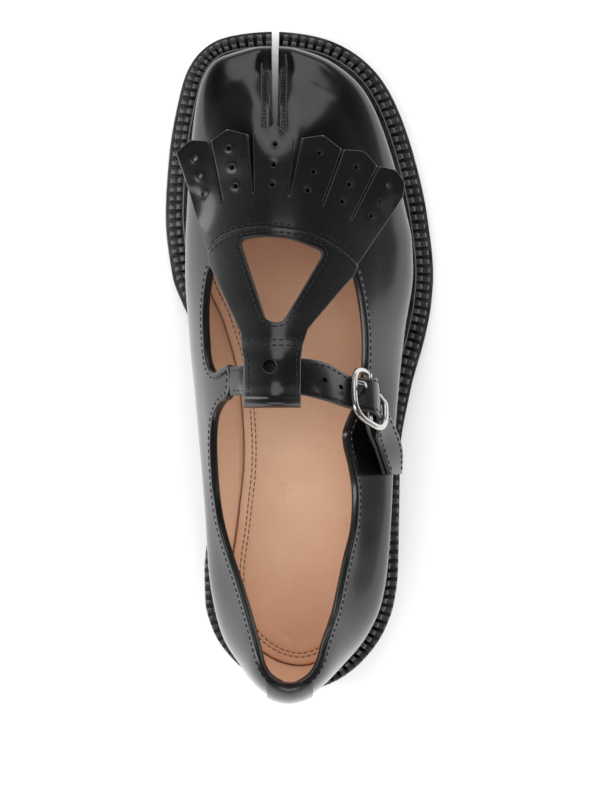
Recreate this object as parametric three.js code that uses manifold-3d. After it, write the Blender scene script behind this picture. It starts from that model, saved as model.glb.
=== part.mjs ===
// Tabi mary jane, right shoe: split toe, kiltie fringe, Y-shaped instep strap, buckled ankle strap
// and a ribbed lug sole. Millimetres, +Y to the toe, +X to the lateral side, +Z up, with the origin
// on the floor under the middle of the heel.
import * as THREE from 'three';
import { mergeVertices } from 'three/addons/utils/BufferGeometryUtils.js';
import Module from 'manifold-3d';

const wasm = await Module();
wasm.setup();

// Driving dimensions
const length = 268;            // sole, heel back to toe tip
const ballWidth = 110;         // sole across the ball
const heelBack = -36.5;        // sole's back edge, from the origin
const heelSeat = 38;           // top of the welt under the heel
const ballSeat = 20.5;         // top of the welt under the ball
const toeSpring = 8;           // rise of the toe
const instepRise = 64;         // instep above the seat
const wall = 2.2;              // upper, leather with its lining
const clearance = 0.3;         // between pieces that touch
const weltThickness = 3;
const midsoleThickness = 10;
const plateThickness = 3;      // outsole between the lugs
const lugHeight = 4.5;
const insoleThickness = 2.4;   // above the seat
const ribPitch = 3.7;
const ribShare = 0.62;         // of the pitch
const ribEdge = 0.6;           // ribs stand back from the outsole's rim
const lowerStep = 3.4;         // depth of the ribs' lower step
const upperStep = 3.2;         // depth of the ribs' upper step
const weltBand = 9.4;          // width of the welt ring
const beadSet = 0.15;          // flat band outside the bead
const beadWidth = 1.1;
const beadRise = 0.6;
const cleftX = -10;
const cleftBack = 188;         // rear end of the toe's split
const cleftFront = 3.2;        // its width at the toe tip
const cleftRear = 2.2;         // and at its rear end
const heelBreast = 36;         // front face of the heel block
const leather = 1.6;           // kiltie and straps

const sideStep = ribEdge + lowerStep + upperStep;

// Along the sole: [at (share of length), medial, lateral (shares of the ball's width)]
const soleOutline = [
  [0, 0, 0], [0.047, -0.249, 0.238], [0.092, -0.324, 0.315], [0.136, -0.352, 0.351],
  [0.181, -0.355, 0.364], [0.27, -0.33, 0.368], [0.36, -0.311, 0.372], [0.45, -0.326, 0.409],
  [0.54, -0.384, 0.469], [0.585, -0.437, 0.49], [0.63, -0.477, 0.498], [0.72, -0.502, 0.476],
  [0.81, -0.489, 0.427], [0.897, -0.452, 0.349], [0.94, -0.42, 0.28], [0.985, -0.318, 0.121],
  [1, -0.1, -0.1],
];
// Height of the seat: [at, heel rise (share of heel less ball), spring (share of toe spring)]
const seatLine = [
  [0, 1, 0], [0.2, 1, 0], [0.27, 0.95, 0], [0.35, 0.72, 0], [0.45, 0.36, 0], [0.52, 0.13, 0],
  [0.58, 0.02, 0], [0.62, 0, 0], [0.7, 0, 0], [0.78, 0, 0.1], [0.88, 0, 0.42], [1, 0, 1],
];
// Foot of the upper, set in from the sole's edge: [at, medial, lateral (shares of the side step)]
const featherLine = [
  [0, 1.38, 1.38], [0.1, 1.35, 1.36], [0.4, 1.34, 1.36], [0.5, 1.36, 1.4], [0.6, 1.45, 1.5],
  [0.7, 1.55, 1.55], [0.9, 1.52, 1.6], [1, 1.4, 1.4],
];
// Widest line of the upper: [at, medial, lateral (shares of the ball's width), height (share of the instep's rise)]
const bulgeLine = [
  [0, -0.04, -0.04, 0.31], [0.041, -0.197, 0.142, 0.29], [0.088, -0.275, 0.237, 0.26],
  [0.134, -0.307, 0.289, 0.22], [0.181, -0.325, 0.311, 0.2], [0.274, -0.339, 0.329, 0.16],
  [0.368, -0.356, 0.339, 0.17], [0.461, -0.375, 0.356, 0.21], [0.554, -0.4, 0.379, 0.23],
  [0.648, -0.418, 0.411, 0.23], [0.695, -0.418, 0.408, 0.22], [0.741, -0.413, 0.387, 0.21],
  [0.835, -0.399, 0.329, 0.2], [0.928, -0.369, 0.236, 0.18], [0.975, -0.313, 0.107, 0.17],
  [0.994, -0.19, -0.01, 0.16], [1, -0.095, -0.095, 0.16],
];
// Topline at the heel and shoulder of the vamp: the same columns
const shoulderLine = [
  [0, -0.035, -0.035, 0.8], [0.03, -0.142, 0.07, 0.77], [0.077, -0.182, 0.118, 0.68],
  [0.118, -0.212, 0.142, 0.58], [0.16, -0.241, 0.167, 0.5], [0.2, -0.27, 0.192, 0.44],
  [0.285, -0.305, 0.208, 0.38], [0.368, -0.328, 0.206, 0.42], [0.451, -0.342, 0.222, 0.5],
  [0.534, -0.351, 0.256, 0.55], [0.617, -0.356, 0.276, 0.53], [0.7, -0.345, 0.285, 0.48],
  [0.784, -0.336, 0.262, 0.43], [0.867, -0.327, 0.214, 0.39], [0.929, -0.302, 0.152, 0.35],
  [0.975, -0.24, 0.05, 0.29], [1, -0.095, -0.095, 0.24],
];
// Crown: [at, across (share of the ball's width), height (share of the instep's rise)]
const crownLine = [
  [0, -0.035, 0.84], [0.2, -0.06, 0.84], [0.437, -0.095, 0.99], [0.534, -0.095, 0.98],
  [0.63, -0.093, 0.88], [0.728, -0.091, 0.76], [0.825, -0.091, 0.66], [0.92, -0.091, 0.57],
  [1, -0.091, 0.46],
];
// Each line of the upper runs from its own heel end to its own toe end (shares of length)
const bulgeRange = [0.0075, 0.967];
const shoulderRange = [0.03, 0.927];
const crownRange = [0.099, 0.868];

// A smooth curve through one column of a table, without overshoot, read at a place from 0 to 1
function column(table, index, warp = (value) => value) {
  const xs = table.map((row) => warp(row[0]));
  const ys = table.map((row) => row[index]);
  const slopes = xs.slice(1).map((x, i) => (ys[i + 1] - ys[i]) / (x - xs[i]));
  const tangents = ys.map((_, i) => {
    if (i === 0) return slopes[0];
    if (i === ys.length - 1) return slopes[i - 1];
    const product = slopes[i - 1] * slopes[i];
    return product <= 0 ? 0 : (2 * product) / (slopes[i - 1] + slopes[i]);
  });
  return (place) => {
    const x = warp(THREE.MathUtils.clamp(place, 0, 1));
    let i = 0;
    while (i < xs.length - 2 && x > xs[i + 1]) i += 1;
    const span = xs[i + 1] - xs[i];
    const u = (x - xs[i]) / span;
    const bend = u * u * (3 - 2 * u);
    return ys[i] * (1 - bend) + ys[i + 1] * bend
      + span * (tangents[i] * u * (1 - u) ** 2 - tangents[i + 1] * u * u * (1 - u));
  };
}

// Places near both ends are spread like an angle, so that the outlines close round
const turn = (at) => Math.acos(1 - 2 * at) / Math.PI;
const place = (angle) => (1 - Math.cos(Math.PI * angle)) / 2;

const solePlan = [column(soleOutline, 1, turn), column(soleOutline, 2, turn)];
const featherPlan = [column(featherLine, 1), column(featherLine, 2)];
const bulgePlan = [column(bulgeLine, 1, turn), column(bulgeLine, 2, turn)];
const shoulderPlan = [column(shoulderLine, 1, turn), column(shoulderLine, 2, turn)];
const seatRise = column(seatLine, 1);
const seatSpring = column(seatLine, 2);
const bulgeHeight = column(bulgeLine, 3, turn);
const shoulderHeight = column(shoulderLine, 3, turn);
const crownAcross = column(crownLine, 1);
const crownHeight = column(crownLine, 2);

function seat(y) {
  const at = (y - heelBack) / length;
  return ballSeat + (heelSeat - ballSeat) * seatRise(at) + toeSpring * seatSpring(at);
}

function along(range, at) {
  return heelBack + length * THREE.MathUtils.lerp(range[0], range[1], at);
}

// Edge of the sole on one side (0 medial, 1 lateral), set in by a distance square to the edge
function solePoint(angle, side, inset) {
  const edge = (value) => {
    const at = place(value);
    return new THREE.Vector2(solePlan[side](at) * ballWidth, heelBack + length * at);
  };
  const step = 0.004;
  const back = edge(Math.max(angle - step, 0));
  const front = edge(Math.min(angle + step, 1));
  const run = front.sub(back).normalize();
  const inward = side === 0 ? new THREE.Vector2(run.y, -run.x) : new THREE.Vector2(-run.y, run.x);
  if (angle <= 0) inward.set(0, 1);
  if (angle >= 1) inward.set(0, -1);
  return edge(angle).addScaledVector(inward, inset);
}

function featherPoint(angle, side) {
  const inset = featherPlan[side](place(angle)) * sideStep;
  const point = solePoint(angle, side, inset);
  return new THREE.Vector3(point.x, point.y, seat(point.y));
}

function linePoint(at, range, across, height) {
  const y = along(range, at);
  return new THREE.Vector3(across * ballWidth, y, seat(y) + height * instepRise);
}

// Half a section of the upper, from the crown down one side to the feather
function sectionKnots(angle, side) {
  const at = place(angle);
  return [
    featherPoint(angle, side),
    linePoint(at, bulgeRange, bulgePlan[side](at), bulgeHeight(at)),
    linePoint(at, shoulderRange, shoulderPlan[side](at), shoulderHeight(at)),
  ];
}

// The split toe sinks the leather towards the slot between the lobes
const valleyDepth = 3.4;
const valleyReach = 5;
const valleyRun = 15;          // behind the split, where the valley starts
function sinkValley(point) {
  const forward = THREE.MathUtils.smoothstep(point.y, cleftBack - valleyRun, cleftBack + valleyRun / 2);
  const off = (point.x - cleftX) / valleyReach;
  const sink = valleyDepth * forward * Math.exp(-off * off);
  point.z -= sink;
  return point;
}

const stepsBetweenKnots = [2, 3, 4, 4, 3, 2];
const skirt = 5;               // the closed form runs on below the seat, to be trimmed there
function section(angle) {
  const at = place(angle);
  const crown = linePoint(at, crownRange, crownAcross(at), crownHeight(at));
  const knots = [...sectionKnots(angle, 0), crown, ...sectionKnots(angle, 1).reverse()];
  const tangents = knots.map((knot, i) => {
    const before = knots[Math.max(i - 1, 0)];
    const after = knots[Math.min(i + 1, knots.length - 1)];
    const reachBack = Math.max(knot.distanceTo(before), 0.001);
    const reachOn = Math.max(after.distanceTo(knot), 0.001);
    if (i === 0 || i === knots.length - 1) return null;
    const slopeBack = knot.clone().sub(before).divideScalar(reachBack);
    const slopeOn = after.clone().sub(knot).divideScalar(reachOn);
    const blend = slopeBack.multiplyScalar(reachOn).add(slopeOn.multiplyScalar(reachBack));
    return blend.divideScalar(reachBack + reachOn);
  });
  tangents[0] = new THREE.Vector3(0, 0, 1);
  tangents[knots.length - 1] = new THREE.Vector3(0, 0, -1);
  const points = [];
  stepsBetweenKnots.forEach((steps, from) => {
    const to = from + 1;
    const reach = knots[to].distanceTo(knots[from]);
    for (let i = from === 0 ? 0 : 1; i <= steps; i += 1) {
      const u = i / steps;
      const bend = u * u * (3 - 2 * u);
      const point = knots[from].clone().lerp(knots[to], bend);
      point.addScaledVector(tangents[from], reach * u * (1 - u) ** 2);
      point.addScaledVector(tangents[to], -reach * u * u * (1 - u));
      points.push(sinkValley(point));
    }
  });
  const first = points[0].clone();
  const last = points[points.length - 1].clone();
  first.z -= skirt;
  last.z -= skirt;
  return [first, ...points, last];
}

// A closed mesh from rows of points, each row one closed round, with the first and last rows capped
function loftGeometry(rows, capFirst, capLast) {
  const count = rows[0].length;
  const positions = rows.flat().flatMap((point) => [point.x, point.y, point.z]);
  const index = [];
  for (let r = 0; r < rows.length - 1; r += 1) {
    for (let i = 0; i < count; i += 1) {
      const a = r * count + i;
      const b = r * count + ((i + 1) % count);
      const c = b + count;
      const d = a + count;
      index.push(a, b, c, a, c, d);
    }
  }
  const fan = (row, flip) => {
    const start = row * count;
    for (let i = 1; i < count - 1; i += 1) {
      index.push(start, start + (flip ? i + 1 : i), start + (flip ? i : i + 1));
    }
  };
  if (capFirst) fan(0, true);
  if (capLast) fan(rows.length - 1, false);
  const geometry = new THREE.BufferGeometry();
  geometry.setAttribute('position', new THREE.Float32BufferAttribute(positions, 3));
  geometry.setIndex(index);
  return geometry;
}

function solidOf(geometry) {
  geometry.deleteAttribute('normal');
  geometry.deleteAttribute('uv');
  const merged = mergeVertices(geometry, 1e-4);
  const array = merged.index.array;
  const triangles = [];
  for (let i = 0; i < array.length; i += 3) {
    const [a, b, c] = [array[i], array[i + 1], array[i + 2]];
    if (a !== b && b !== c && c !== a) triangles.push(a, b, c);
  }
  const vertices = new Float32Array(merged.attributes.position.array);
  if (signedVolume(vertices, triangles) < 0) triangles.reverse();
  const mesh = new wasm.Mesh({ numProp: 3, vertProperties: vertices, triVerts: new Uint32Array(triangles) });
  return new wasm.Manifold(mesh);
}

// Six times the volume inside the triangles, negative where they face inward
function signedVolume(vertices, triangles) {
  const corner = (i) => new THREE.Vector3().fromArray(vertices, 3 * triangles[i]);
  let sum = 0;
  for (let i = 0; i < triangles.length; i += 3) {
    sum += corner(i).dot(corner(i + 1).cross(corner(i + 2)));
  }
  return sum;
}

function geometryOf(solid) {
  const mesh = solid.getMesh();
  const geometry = new THREE.BufferGeometry();
  geometry.setAttribute('position', new THREE.Float32BufferAttribute(mesh.vertProperties, 3));
  geometry.setIndex(new THREE.Uint32BufferAttribute(mesh.triVerts, 1));
  return geometry;
}

// The last, grown outward by a distance that may change from place to place
function lastSolid(angles, grow) {
  const rows = angles.map(section);
  const open = angles[0] > 0;
  const openEnd = angles[angles.length - 1] < 1;
  const geometry = mergeVertices(loftGeometry(rows, open, openEnd), 1e-4);
  geometry.computeVertexNormals();
  const position = geometry.attributes.position;
  const normal = geometry.attributes.normal;
  for (let i = 0; i < position.count; i += 1) {
    const distance = grow(position.getY(i), position.getX(i));
    position.setXYZ(
      i,
      position.getX(i) + normal.getX(i) * distance,
      position.getY(i) + normal.getY(i) * distance,
      position.getZ(i) + normal.getZ(i) * distance,
    );
  }
  return solidOf(geometry);
}

function evenAngles(from, to, steps) {
  return Array.from({ length: steps + 1 }, (_, i) => from + ((to - from) * i) / steps);
}

// A prism over a plan outline, upright
function uprightPrism(points, bottom, top) {
  const shape = new THREE.Shape(points.map(([x, y]) => new THREE.Vector2(x, y)));
  const geometry = new THREE.ExtrudeGeometry(shape, { depth: top - bottom, bevelEnabled: false, steps: 1 });
  geometry.translate(0, 0, bottom);
  return solidOf(geometry);
}

// A layer of leather over the last, between two distances from it, cut to a plan outline
function layer(angles, low, high, outline, bottom) {
  const shell = lastSolid(angles, high).subtract(lastSolid(angles, low));
  return shell.intersect(uprightPrism(outline, bottom, skyline));
}

// Rows of [along, across] as points in plan
const plan = (rows) => rows.map(([at, across]) => [across * ballWidth, heelBack + at * length]);
// A row of [along, across, rise] as a point, its height above the seat
function spot([at, across, rise]) {
  const y = heelBack + at * length;
  return new THREE.Vector3(across * ballWidth, y, seat(y) + rise * instepRise);
}

// Height of the last above a place in plan
const lookupAngles = evenAngles(0.25, 0.8, 60);
const lookupSections = lookupAngles.map((angle) => section(angle).slice(2, -2));
function surfaceHeight(x, y) {
  const cuts = lookupSections.map((points) => {
    let i = 0;
    while (i < points.length - 2 && points[i + 1].x < x) i += 1;
    const u = (x - points[i].x) / (points[i + 1].x - points[i].x);
    return points[i].clone().lerp(points[i + 1], u);
  });
  let i = 0;
  while (i < cuts.length - 2 && cuts[i + 1].y < y) i += 1;
  const u = (y - cuts[i].y) / (cuts[i + 1].y - cuts[i].y);
  return THREE.MathUtils.lerp(cuts[i].z, cuts[i + 1].z, u);
}

// Edge of the collar's opening, from the heel up the medial side, round the throat and back
const openingOutline = plan([
  [0.037, -0.06], [0.048, -0.106], [0.066, -0.133], [0.099, -0.157], [0.136, -0.185], [0.174, -0.216],
  [0.211, -0.248], [0.248, -0.278], [0.285, -0.298], [0.33, -0.309], [0.382, -0.312], [0.418, -0.3],
  [0.437, -0.273], [0.444, -0.251], [0.489, -0.248], [0.478, -0.303], [0.493, -0.326], [0.53, -0.337],
  [0.571, -0.34], [0.605, -0.332], [0.636, -0.314], [0.655, -0.27], [0.675, -0.2], [0.681, -0.124],
  [0.678, -0.035], [0.668, 0.053], [0.65, 0.13], [0.628, 0.19], [0.608, 0.207], [0.571, 0.225],
  [0.53, 0.235], [0.487, 0.234], [0.457, 0.227], [0.433, 0.208], [0.412, 0.185], [0.39, 0.167],
  [0.372, 0.17], [0.345, 0.186], [0.308, 0.199], [0.256, 0.194], [0.211, 0.168], [0.174, 0.148],
  [0.136, 0.126], [0.099, 0.092], [0.066, 0.066], [0.048, 0.036], [0.037, -0.01],
]);
const openingFloor = heelSeat + 0.19 * instepRise;
const skyline = heelSeat + 1.5 * instepRise;
const belowAll = -20;

// The slot between the toes: a wedge in plan, grown by the wall for the form inside
function cleftPrism(grow, bottom) {
  const rear = cleftRear / 2 + grow;
  const front = cleftFront / 2 + grow;
  const ahead = heelBack + length + 10;
  const outline = [[cleftX - front, ahead], [cleftX - rear, cleftBack]];
  for (let i = 1; i < 6; i += 1) {
    const a = Math.PI * (1 + i / 6);
    outline.push([cleftX + rear * Math.cos(a), cleftBack + rear * Math.sin(a)]);
  }
  outline.push([cleftX + rear, cleftBack], [cleftX + front, ahead]);
  return uprightPrism(outline.reverse(), bottom, skyline);
}

// Everything below the seat, raised by a distance, for trimming what stands on it
function belowSeat(raise) {
  const steps = 40;
  const shape = new THREE.Shape();
  const reach = 20;
  shape.moveTo(heelBack - reach, -reach);
  shape.lineTo(heelBack + length + reach, -reach);
  for (let i = steps; i >= 0; i -= 1) {
    const y = heelBack - reach + ((length + 2 * reach) * i) / steps;
    shape.lineTo(y, seat(y) + raise);
  }
  const geometry = new THREE.ExtrudeGeometry(shape, { depth: 2 * ballWidth, bevelEnabled: false, steps: 1 });
  geometry.rotateX(Math.PI / 2);
  geometry.rotateZ(Math.PI / 2);
  geometry.translate(-ballWidth, 0, 0);
  return solidOf(geometry);
}

const lastAngles = evenAngles(0, 1, 32);
// The stretch of those sections between two angles, so that layers lie parallel to the upper
const stretch = (from, to) => lastAngles.filter((angle) => angle >= from && angle <= to);

function makeUpper() {
  const outside = lastSolid(lastAngles, () => 0).subtract(cleftPrism(0, 0));
  const inside = lastSolid(lastAngles, () => -wall).subtract(cleftPrism(wall, 0));
  const opening = uprightPrism(openingOutline, openingFloor, skyline);
  return outside.subtract(inside).subtract(opening).subtract(belowSeat(clearance));
}

// The insole: its rim inside the upper's foot, its core inside the welt ring
function makeInsole() {
  const perSide = 30;
  const rim = (angle, side) => featherPlan[side](place(angle)) * sideStep + wall + 2 * clearance;
  const core = () => sideStep + weltBand + clearance;
  return edgeSolid(perSide, [
    [core, clearance - weltThickness], [core, clearance], [rim, clearance], [rim, insoleThickness],
  ]).subtract(cleftPrism(wall + 2 * clearance, 0));
}

const kiltieFront = [
  [0.803, -0.442], [0.821, -0.391], [0.819, -0.323], [0.819, -0.315], [0.835, -0.256], [0.826, -0.182],
  [0.829, -0.163], [0.84, -0.086], [0.821, -0.02], [0.82, 0.003], [0.826, 0.079], [0.806, 0.145],
  [0.805, 0.215], [0.802, 0.233], [0.783, 0.273], [0.778, 0.343], [0.759, 0.375], [0.739, 0.367],
];
// Seam between the kiltie and the Y-strap, medial to lateral
const seamArc = [
  [0.656, -0.321], [0.674, -0.272], [0.683, -0.212], [0.687, -0.124], [0.685, -0.035], [0.675, 0.053],
  [0.656, 0.141], [0.635, 0.2],
];
// Each slit: root [along, across], front [along, across], width at the front in shares of the ball's width
const slits = [
  [0.73, -0.272, 0.823, -0.318, 0.008], [0.741, -0.162, 0.834, -0.173, 0.018],
  [0.735, -0.039, 0.83, -0.009, 0.025], [0.721, 0.075, 0.812, 0.147, 0.008],
  [0.702, 0.177, 0.789, 0.278, 0.008],
];
// Each lobe's row of holes: front hole [along, across], rear hole [along, across]
const holeRows = [
  [0.793, -0.373, 0.741, -0.337], [0.807, -0.249, 0.751, -0.224], [0.81, -0.088, 0.751, -0.097],
  [0.799, 0.065, 0.743, 0.025], [0.78, 0.196, 0.728, 0.144], [0.755, 0.313, 0.709, 0.248],
];
const holesInRow = 3;
const kiltieHole = 2.2;
const slitRoot = 0.5;
const kiltieFlare = 4.2;       // the outer lobes stand off the sides
const kiltieLift = 1.2;        // the lobes' tips stand off the vamp

// The kiltie lies close at its seam and lifts towards the tips and the sides
function kiltieLow(y, x) {
  const forward = THREE.MathUtils.smoothstep((y - heelBack) / length, 0.68, 0.8);
  const aside = THREE.MathUtils.smoothstep(Math.abs(x - cleftX) / ballWidth, 0.2, 0.36);
  return clearance + forward * (kiltieLift + kiltieFlare * aside * aside);
}

function makeKiltie() {
  const backGap = clearance / length;
  const rear = seamArc.map(([at, across]) => [at + backGap, across]);
  const outline = plan([...kiltieFront, [0.661, 0.24], ...rear.reverse()]);
  const angles = stretch(0.52, 0.88);
  const bottom = ballSeat + 0.25 * instepRise;
  let kiltie = layer(angles, kiltieLow, (y, x) => kiltieLow(y, x) + leather, outline, bottom);
  const tools = slits.map(([rootAt, rootAcross, frontAt, frontAcross, width]) => {
    const [root, front] = plan([[rootAt, rootAcross], [frontAt, frontAcross]]);
    const half = (width * ballWidth) / 2;
    return uprightPrism([
      [root[0] - slitRoot / 2, root[1]], [root[0] + slitRoot / 2, root[1]],
      [front[0] + half, front[1]], [front[0] - half, front[1]],
    ], bottom, skyline);
  });
  for (const [frontAt, frontAcross, rearAt, rearAcross] of holeRows) {
    const [first, last] = plan([[frontAt, frontAcross], [rearAt, rearAcross]]);
    for (let i = 0; i < holesInRow; i += 1) {
      const u = i / (holesInRow - 1);
      const x = THREE.MathUtils.lerp(first[0], last[0], u);
      const y = THREE.MathUtils.lerp(first[1], last[1], u);
      tools.push(roundPrism(x, y, kiltieHole / 2, 8, bottom));
    }
  }
  for (const tool of tools) kiltie = kiltie.subtract(tool);
  return kiltie;
}

function roundPrism(x, y, radius, sides, bottom) {
  const outline = Array.from({ length: sides }, (_, i) => {
    const a = (2 * Math.PI * (i + 0.5)) / sides;
    return [x + radius * Math.cos(a), y + radius * Math.sin(a)];
  });
  return uprightPrism(outline, bottom, skyline);
}

// A band through rows of front and rear edge points, with a thickness downward along its own normal
function ribbon(fronts, rears, thickness, steps) {
  const frontCurve = new THREE.CatmullRomCurve3(fronts, false, 'centripetal');
  const rearCurve = new THREE.CatmullRomCurve3(rears, false, 'centripetal');
  const rows = [];
  for (let i = 0; i <= steps; i += 1) {
    const u = i / steps;
    const front = frontCurve.getPoint(u);
    const rear = rearCurve.getPoint(u);
    const run = frontCurve.getTangent(u).add(rearCurve.getTangent(u));
    const down = front.clone().sub(rear).cross(run).normalize().multiplyScalar(thickness);
    rows.push([front, front.clone().add(down), rear.clone().add(down), rear]);
  }
  return solidOf(loftGeometry(rows, true, true));
}

// The ankle strap's edges: on the instep from the medial ear on [along, across],
// then free [along, across, rise]
const strapOnInstep = { front: [[0.487, -0.244], [0.499, 0.005]], rear: [[0.446, -0.244], [0.447, 0.002]] };
const instepSteps = 6;
const strapFree = {
  front: [[0.493, 0.091, 0.87], [0.475, 0.173, 0.78], [0.467, 0.265, 0.72], [0.447, 0.286, 0.545],
    [0.405, 0.336, 0.43], [0.369, 0.368, 0.33], [0.33, 0.37, 0.2]],
  rear: [[0.44, 0.091, 0.95], [0.429, 0.173, 0.85], [0.421, 0.265, 0.795], [0.4, 0.286, 0.62],
    [0.386, 0.277, 0.6], [0.367, 0.29, 0.51], [0.331, 0.324, 0.41]],
};
const chapeEdges = {
  front: [[0.452, 0.235, 0.66], [0.403, 0.322, 0.38], [0.369, 0.347, 0.29], [0.329, 0.352, 0.17]],
  rear: [[0.415, 0.235, 0.72], [0.388, 0.252, 0.57], [0.367, 0.274, 0.46], [0.331, 0.306, 0.37]],
};

function makeAnkleStrap() {
  const onInstep = (ends) => evenAngles(0, 1, instepSteps).map((u) => {
    const [start, end] = plan(ends);
    const x = THREE.MathUtils.lerp(start[0], end[0], u);
    const y = THREE.MathUtils.lerp(start[1], end[1], u);
    return new THREE.Vector3(x, y, surfaceHeight(x, y) + strapLift + leather);
  });
  const fronts = [...onInstep(strapOnInstep.front), ...strapFree.front.map(spot)];
  const rears = [...onInstep(strapOnInstep.rear), ...strapFree.rear.map(spot)];
  return ribbon(fronts, rears, leather, 40);
}

function makeChape() {
  return ribbon(chapeEdges.front.map(spot), chapeEdges.rear.map(spot), leather, 16);
}

// The Y-strap: arms from the seam to the tab, with a rounded three-cornered cut-out
const strapLift = 0.2;         // the ankle strap lies this far above the last
const loopRoom = 0.8;          // clear space over and under the strap in the loop
const yOutline = {
  medial: [[0.638, -0.315], [0.588, -0.261], [0.532, -0.198], [0.515, -0.196]],
  lateral: [[0.515, 0.003], [0.539, 0.023], [0.598, 0.139], [0.619, 0.184]],
};
const cutOut = [[0.671, -0.21], [0.675, -0.127], [0.672, -0.037], [0.653, 0.083], [0.546, -0.066], [0.55, -0.114]];
const cutOutRound = 3;
const tabSides = [-0.196, 0.003];
const tabHoleAt = 0.487;
const tabHoleAcross = -0.105;
const tabHoleWidth = 5;
const tabFront = 0.53;         // the tab leaves the Y-strap here
const tabRise = 0.5;           // and stands clear of the strap from here back to its fold
const tabFold = 0.441;
const foldSteps = 8;
const tabSlices = 4;

// A closed outline whose corners are rounded by a radius
function roundCorners(points, radius) {
  const result = [];
  points.forEach((point, i) => {
    const corner = new THREE.Vector2(...point);
    const before = new THREE.Vector2(...points[(i + points.length - 1) % points.length]);
    const after = new THREE.Vector2(...points[(i + 1) % points.length]);
    const from = before.sub(corner);
    const to = after.sub(corner);
    const reach = Math.min(radius, 0.45 * from.length(), 0.45 * to.length());
    const start = corner.clone().addScaledVector(from.normalize(), reach);
    const end = corner.clone().addScaledVector(to.normalize(), reach);
    for (let k = 0; k <= 3; k += 1) {
      const u = k / 3;
      const a = start.clone().lerp(corner, u);
      const b = corner.clone().lerp(end, u);
      const mixed = a.lerp(b, u);
      result.push([mixed.x, mixed.y]);
    }
  });
  return result;
}

function makeYStrap() {
  const outline = plan([...seamArc, ...yOutline.lateral.toReversed(), ...yOutline.medial.toReversed()]);
  const angles = stretch(0.43, 0.72);
  let strap = layer(angles, () => clearance, () => clearance + leather, outline, openingFloor);
  strap = strap.subtract(uprightPrism(roundCorners(plan(cutOut), cutOutRound), openingFloor, skyline));
  strap = strap.add(makeLoop());
  const [[x, y]] = plan([[tabHoleAt, tabHoleAcross]]);
  return strap.subtract(roundPrism(x, y, tabHoleWidth / 2, 12, surfaceHeight(x, y) + leather));
}

// The tab folds round the ankle strap: its profile holds rows of [along, lift above the last]
function makeLoop() {
  const under = -loopRoom;
  const over = strapLift + leather + loopRoom;
  const top = over + leather;
  const bottom = under - leather;
  const middle = (top + bottom) / 2;
  const bend = (top - bottom) / 2;
  const innerBend = bend - leather;
  const skin = clearance + leather;
  const outer = [[tabFront, skin], [tabFront - 0.008, skin], [tabRise, top]];
  const inner = [[tabFront, clearance], [tabFront - 0.01, clearance], [tabRise - 0.002, over]];
  for (const a of evenAngles(0, Math.PI, foldSteps)) {
    outer.push([tabFold - (bend * Math.sin(a)) / length, middle + bend * Math.cos(a)]);
    inner.push([tabFold - (innerBend * Math.sin(a)) / length, middle + innerBend * Math.cos(a)]);
  }
  outer.push([tabRise, bottom], [tabRise + 0.01, bottom + clearance], [tabFront - 0.01, clearance / 2 + 0.3]);
  inner.push([tabRise, under], [tabRise + 0.01, under + clearance], [tabFront - 0.013, 2 * clearance]);
  const profile = [...outer, ...inner.reverse()];
  const shape = new THREE.Shape(profile.map(([at, lift]) => new THREE.Vector2(at * length, lift)));
  const flat = new THREE.ExtrudeGeometry(shape, { depth: 1, steps: tabSlices, bevelEnabled: false });
  const position = flat.attributes.position;
  for (let i = 0; i < position.count; i += 1) {
    const at = position.getX(i) / length;
    const across = THREE.MathUtils.lerp(tabSides[0], tabSides[1], position.getZ(i));
    const [[x, y]] = plan([[at, across]]);
    position.setXYZ(i, x, y, surfaceHeight(x, y) + position.getY(i));
  }
  return solidOf(flat);
}

// The back strip covers the heel seam
const backStripSides = [-0.115, 0.045];
const backStripFront = 0.038;
const backStripLeather = 1;
function makeBackStrip() {
  const [medial, lateral] = backStripSides.map((across) => across * ballWidth);
  const front = heelBack + backStripFront * length;
  const outline = [[medial, heelBack], [lateral, heelBack], [lateral, front], [medial, front]];
  const high = () => clearance + backStripLeather;
  const strip = layer(stretch(0, 0.34), () => clearance, high, outline, 0);
  return strip.subtract(belowSeat(beadRise + clearance));
}

const buckleBar = 2;
// Buckle: its own axes run across the strap's way, along the strap's width and square to both
const buckle = {
  middle: spot([0.441, 0.245, 0.73]),
  run: new THREE.Vector3(0.647, -0.405, -0.647).normalize(),
  width: new THREE.Vector3(0, 0.849, -0.528).normalize(),
  runLength: 19,
  widthLength: 22,
  wire: 2.4,
};
buckle.width.addScaledVector(buckle.run, -buckle.width.dot(buckle.run)).normalize();
buckle.out = buckle.run.clone().cross(buckle.width);

function bucklePoint(run, width, out) {
  return buckle.middle.clone().addScaledVector(buckle.run, run)
    .addScaledVector(buckle.width, width).addScaledVector(buckle.out, out);
}

// A wire round a closed or open path, with a round section
function wire(points, radius, sides, closed) {
  const rows = points.map((point, i) => {
    const before = points[closed ? (i + points.length - 1) % points.length : Math.max(i - 1, 0)];
    const after = points[closed ? (i + 1) % points.length : Math.min(i + 1, points.length - 1)];
    const run = after.clone().sub(before).normalize();
    const up = buckle.out.clone().addScaledVector(run, -buckle.out.dot(run)).normalize();
    const aside = up.clone().cross(run);
    return Array.from({ length: sides }, (_, k) => {
      const a = (2 * Math.PI * k) / sides;
      const across = aside.clone().multiplyScalar(Math.sin(a));
      return across.addScaledVector(up, Math.cos(a)).multiplyScalar(radius).add(point);
    });
  });
  if (closed) rows.push(rows[0].map((point) => point.clone()));
  return solidOf(loftGeometry(rows, !closed, !closed));
}

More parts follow.
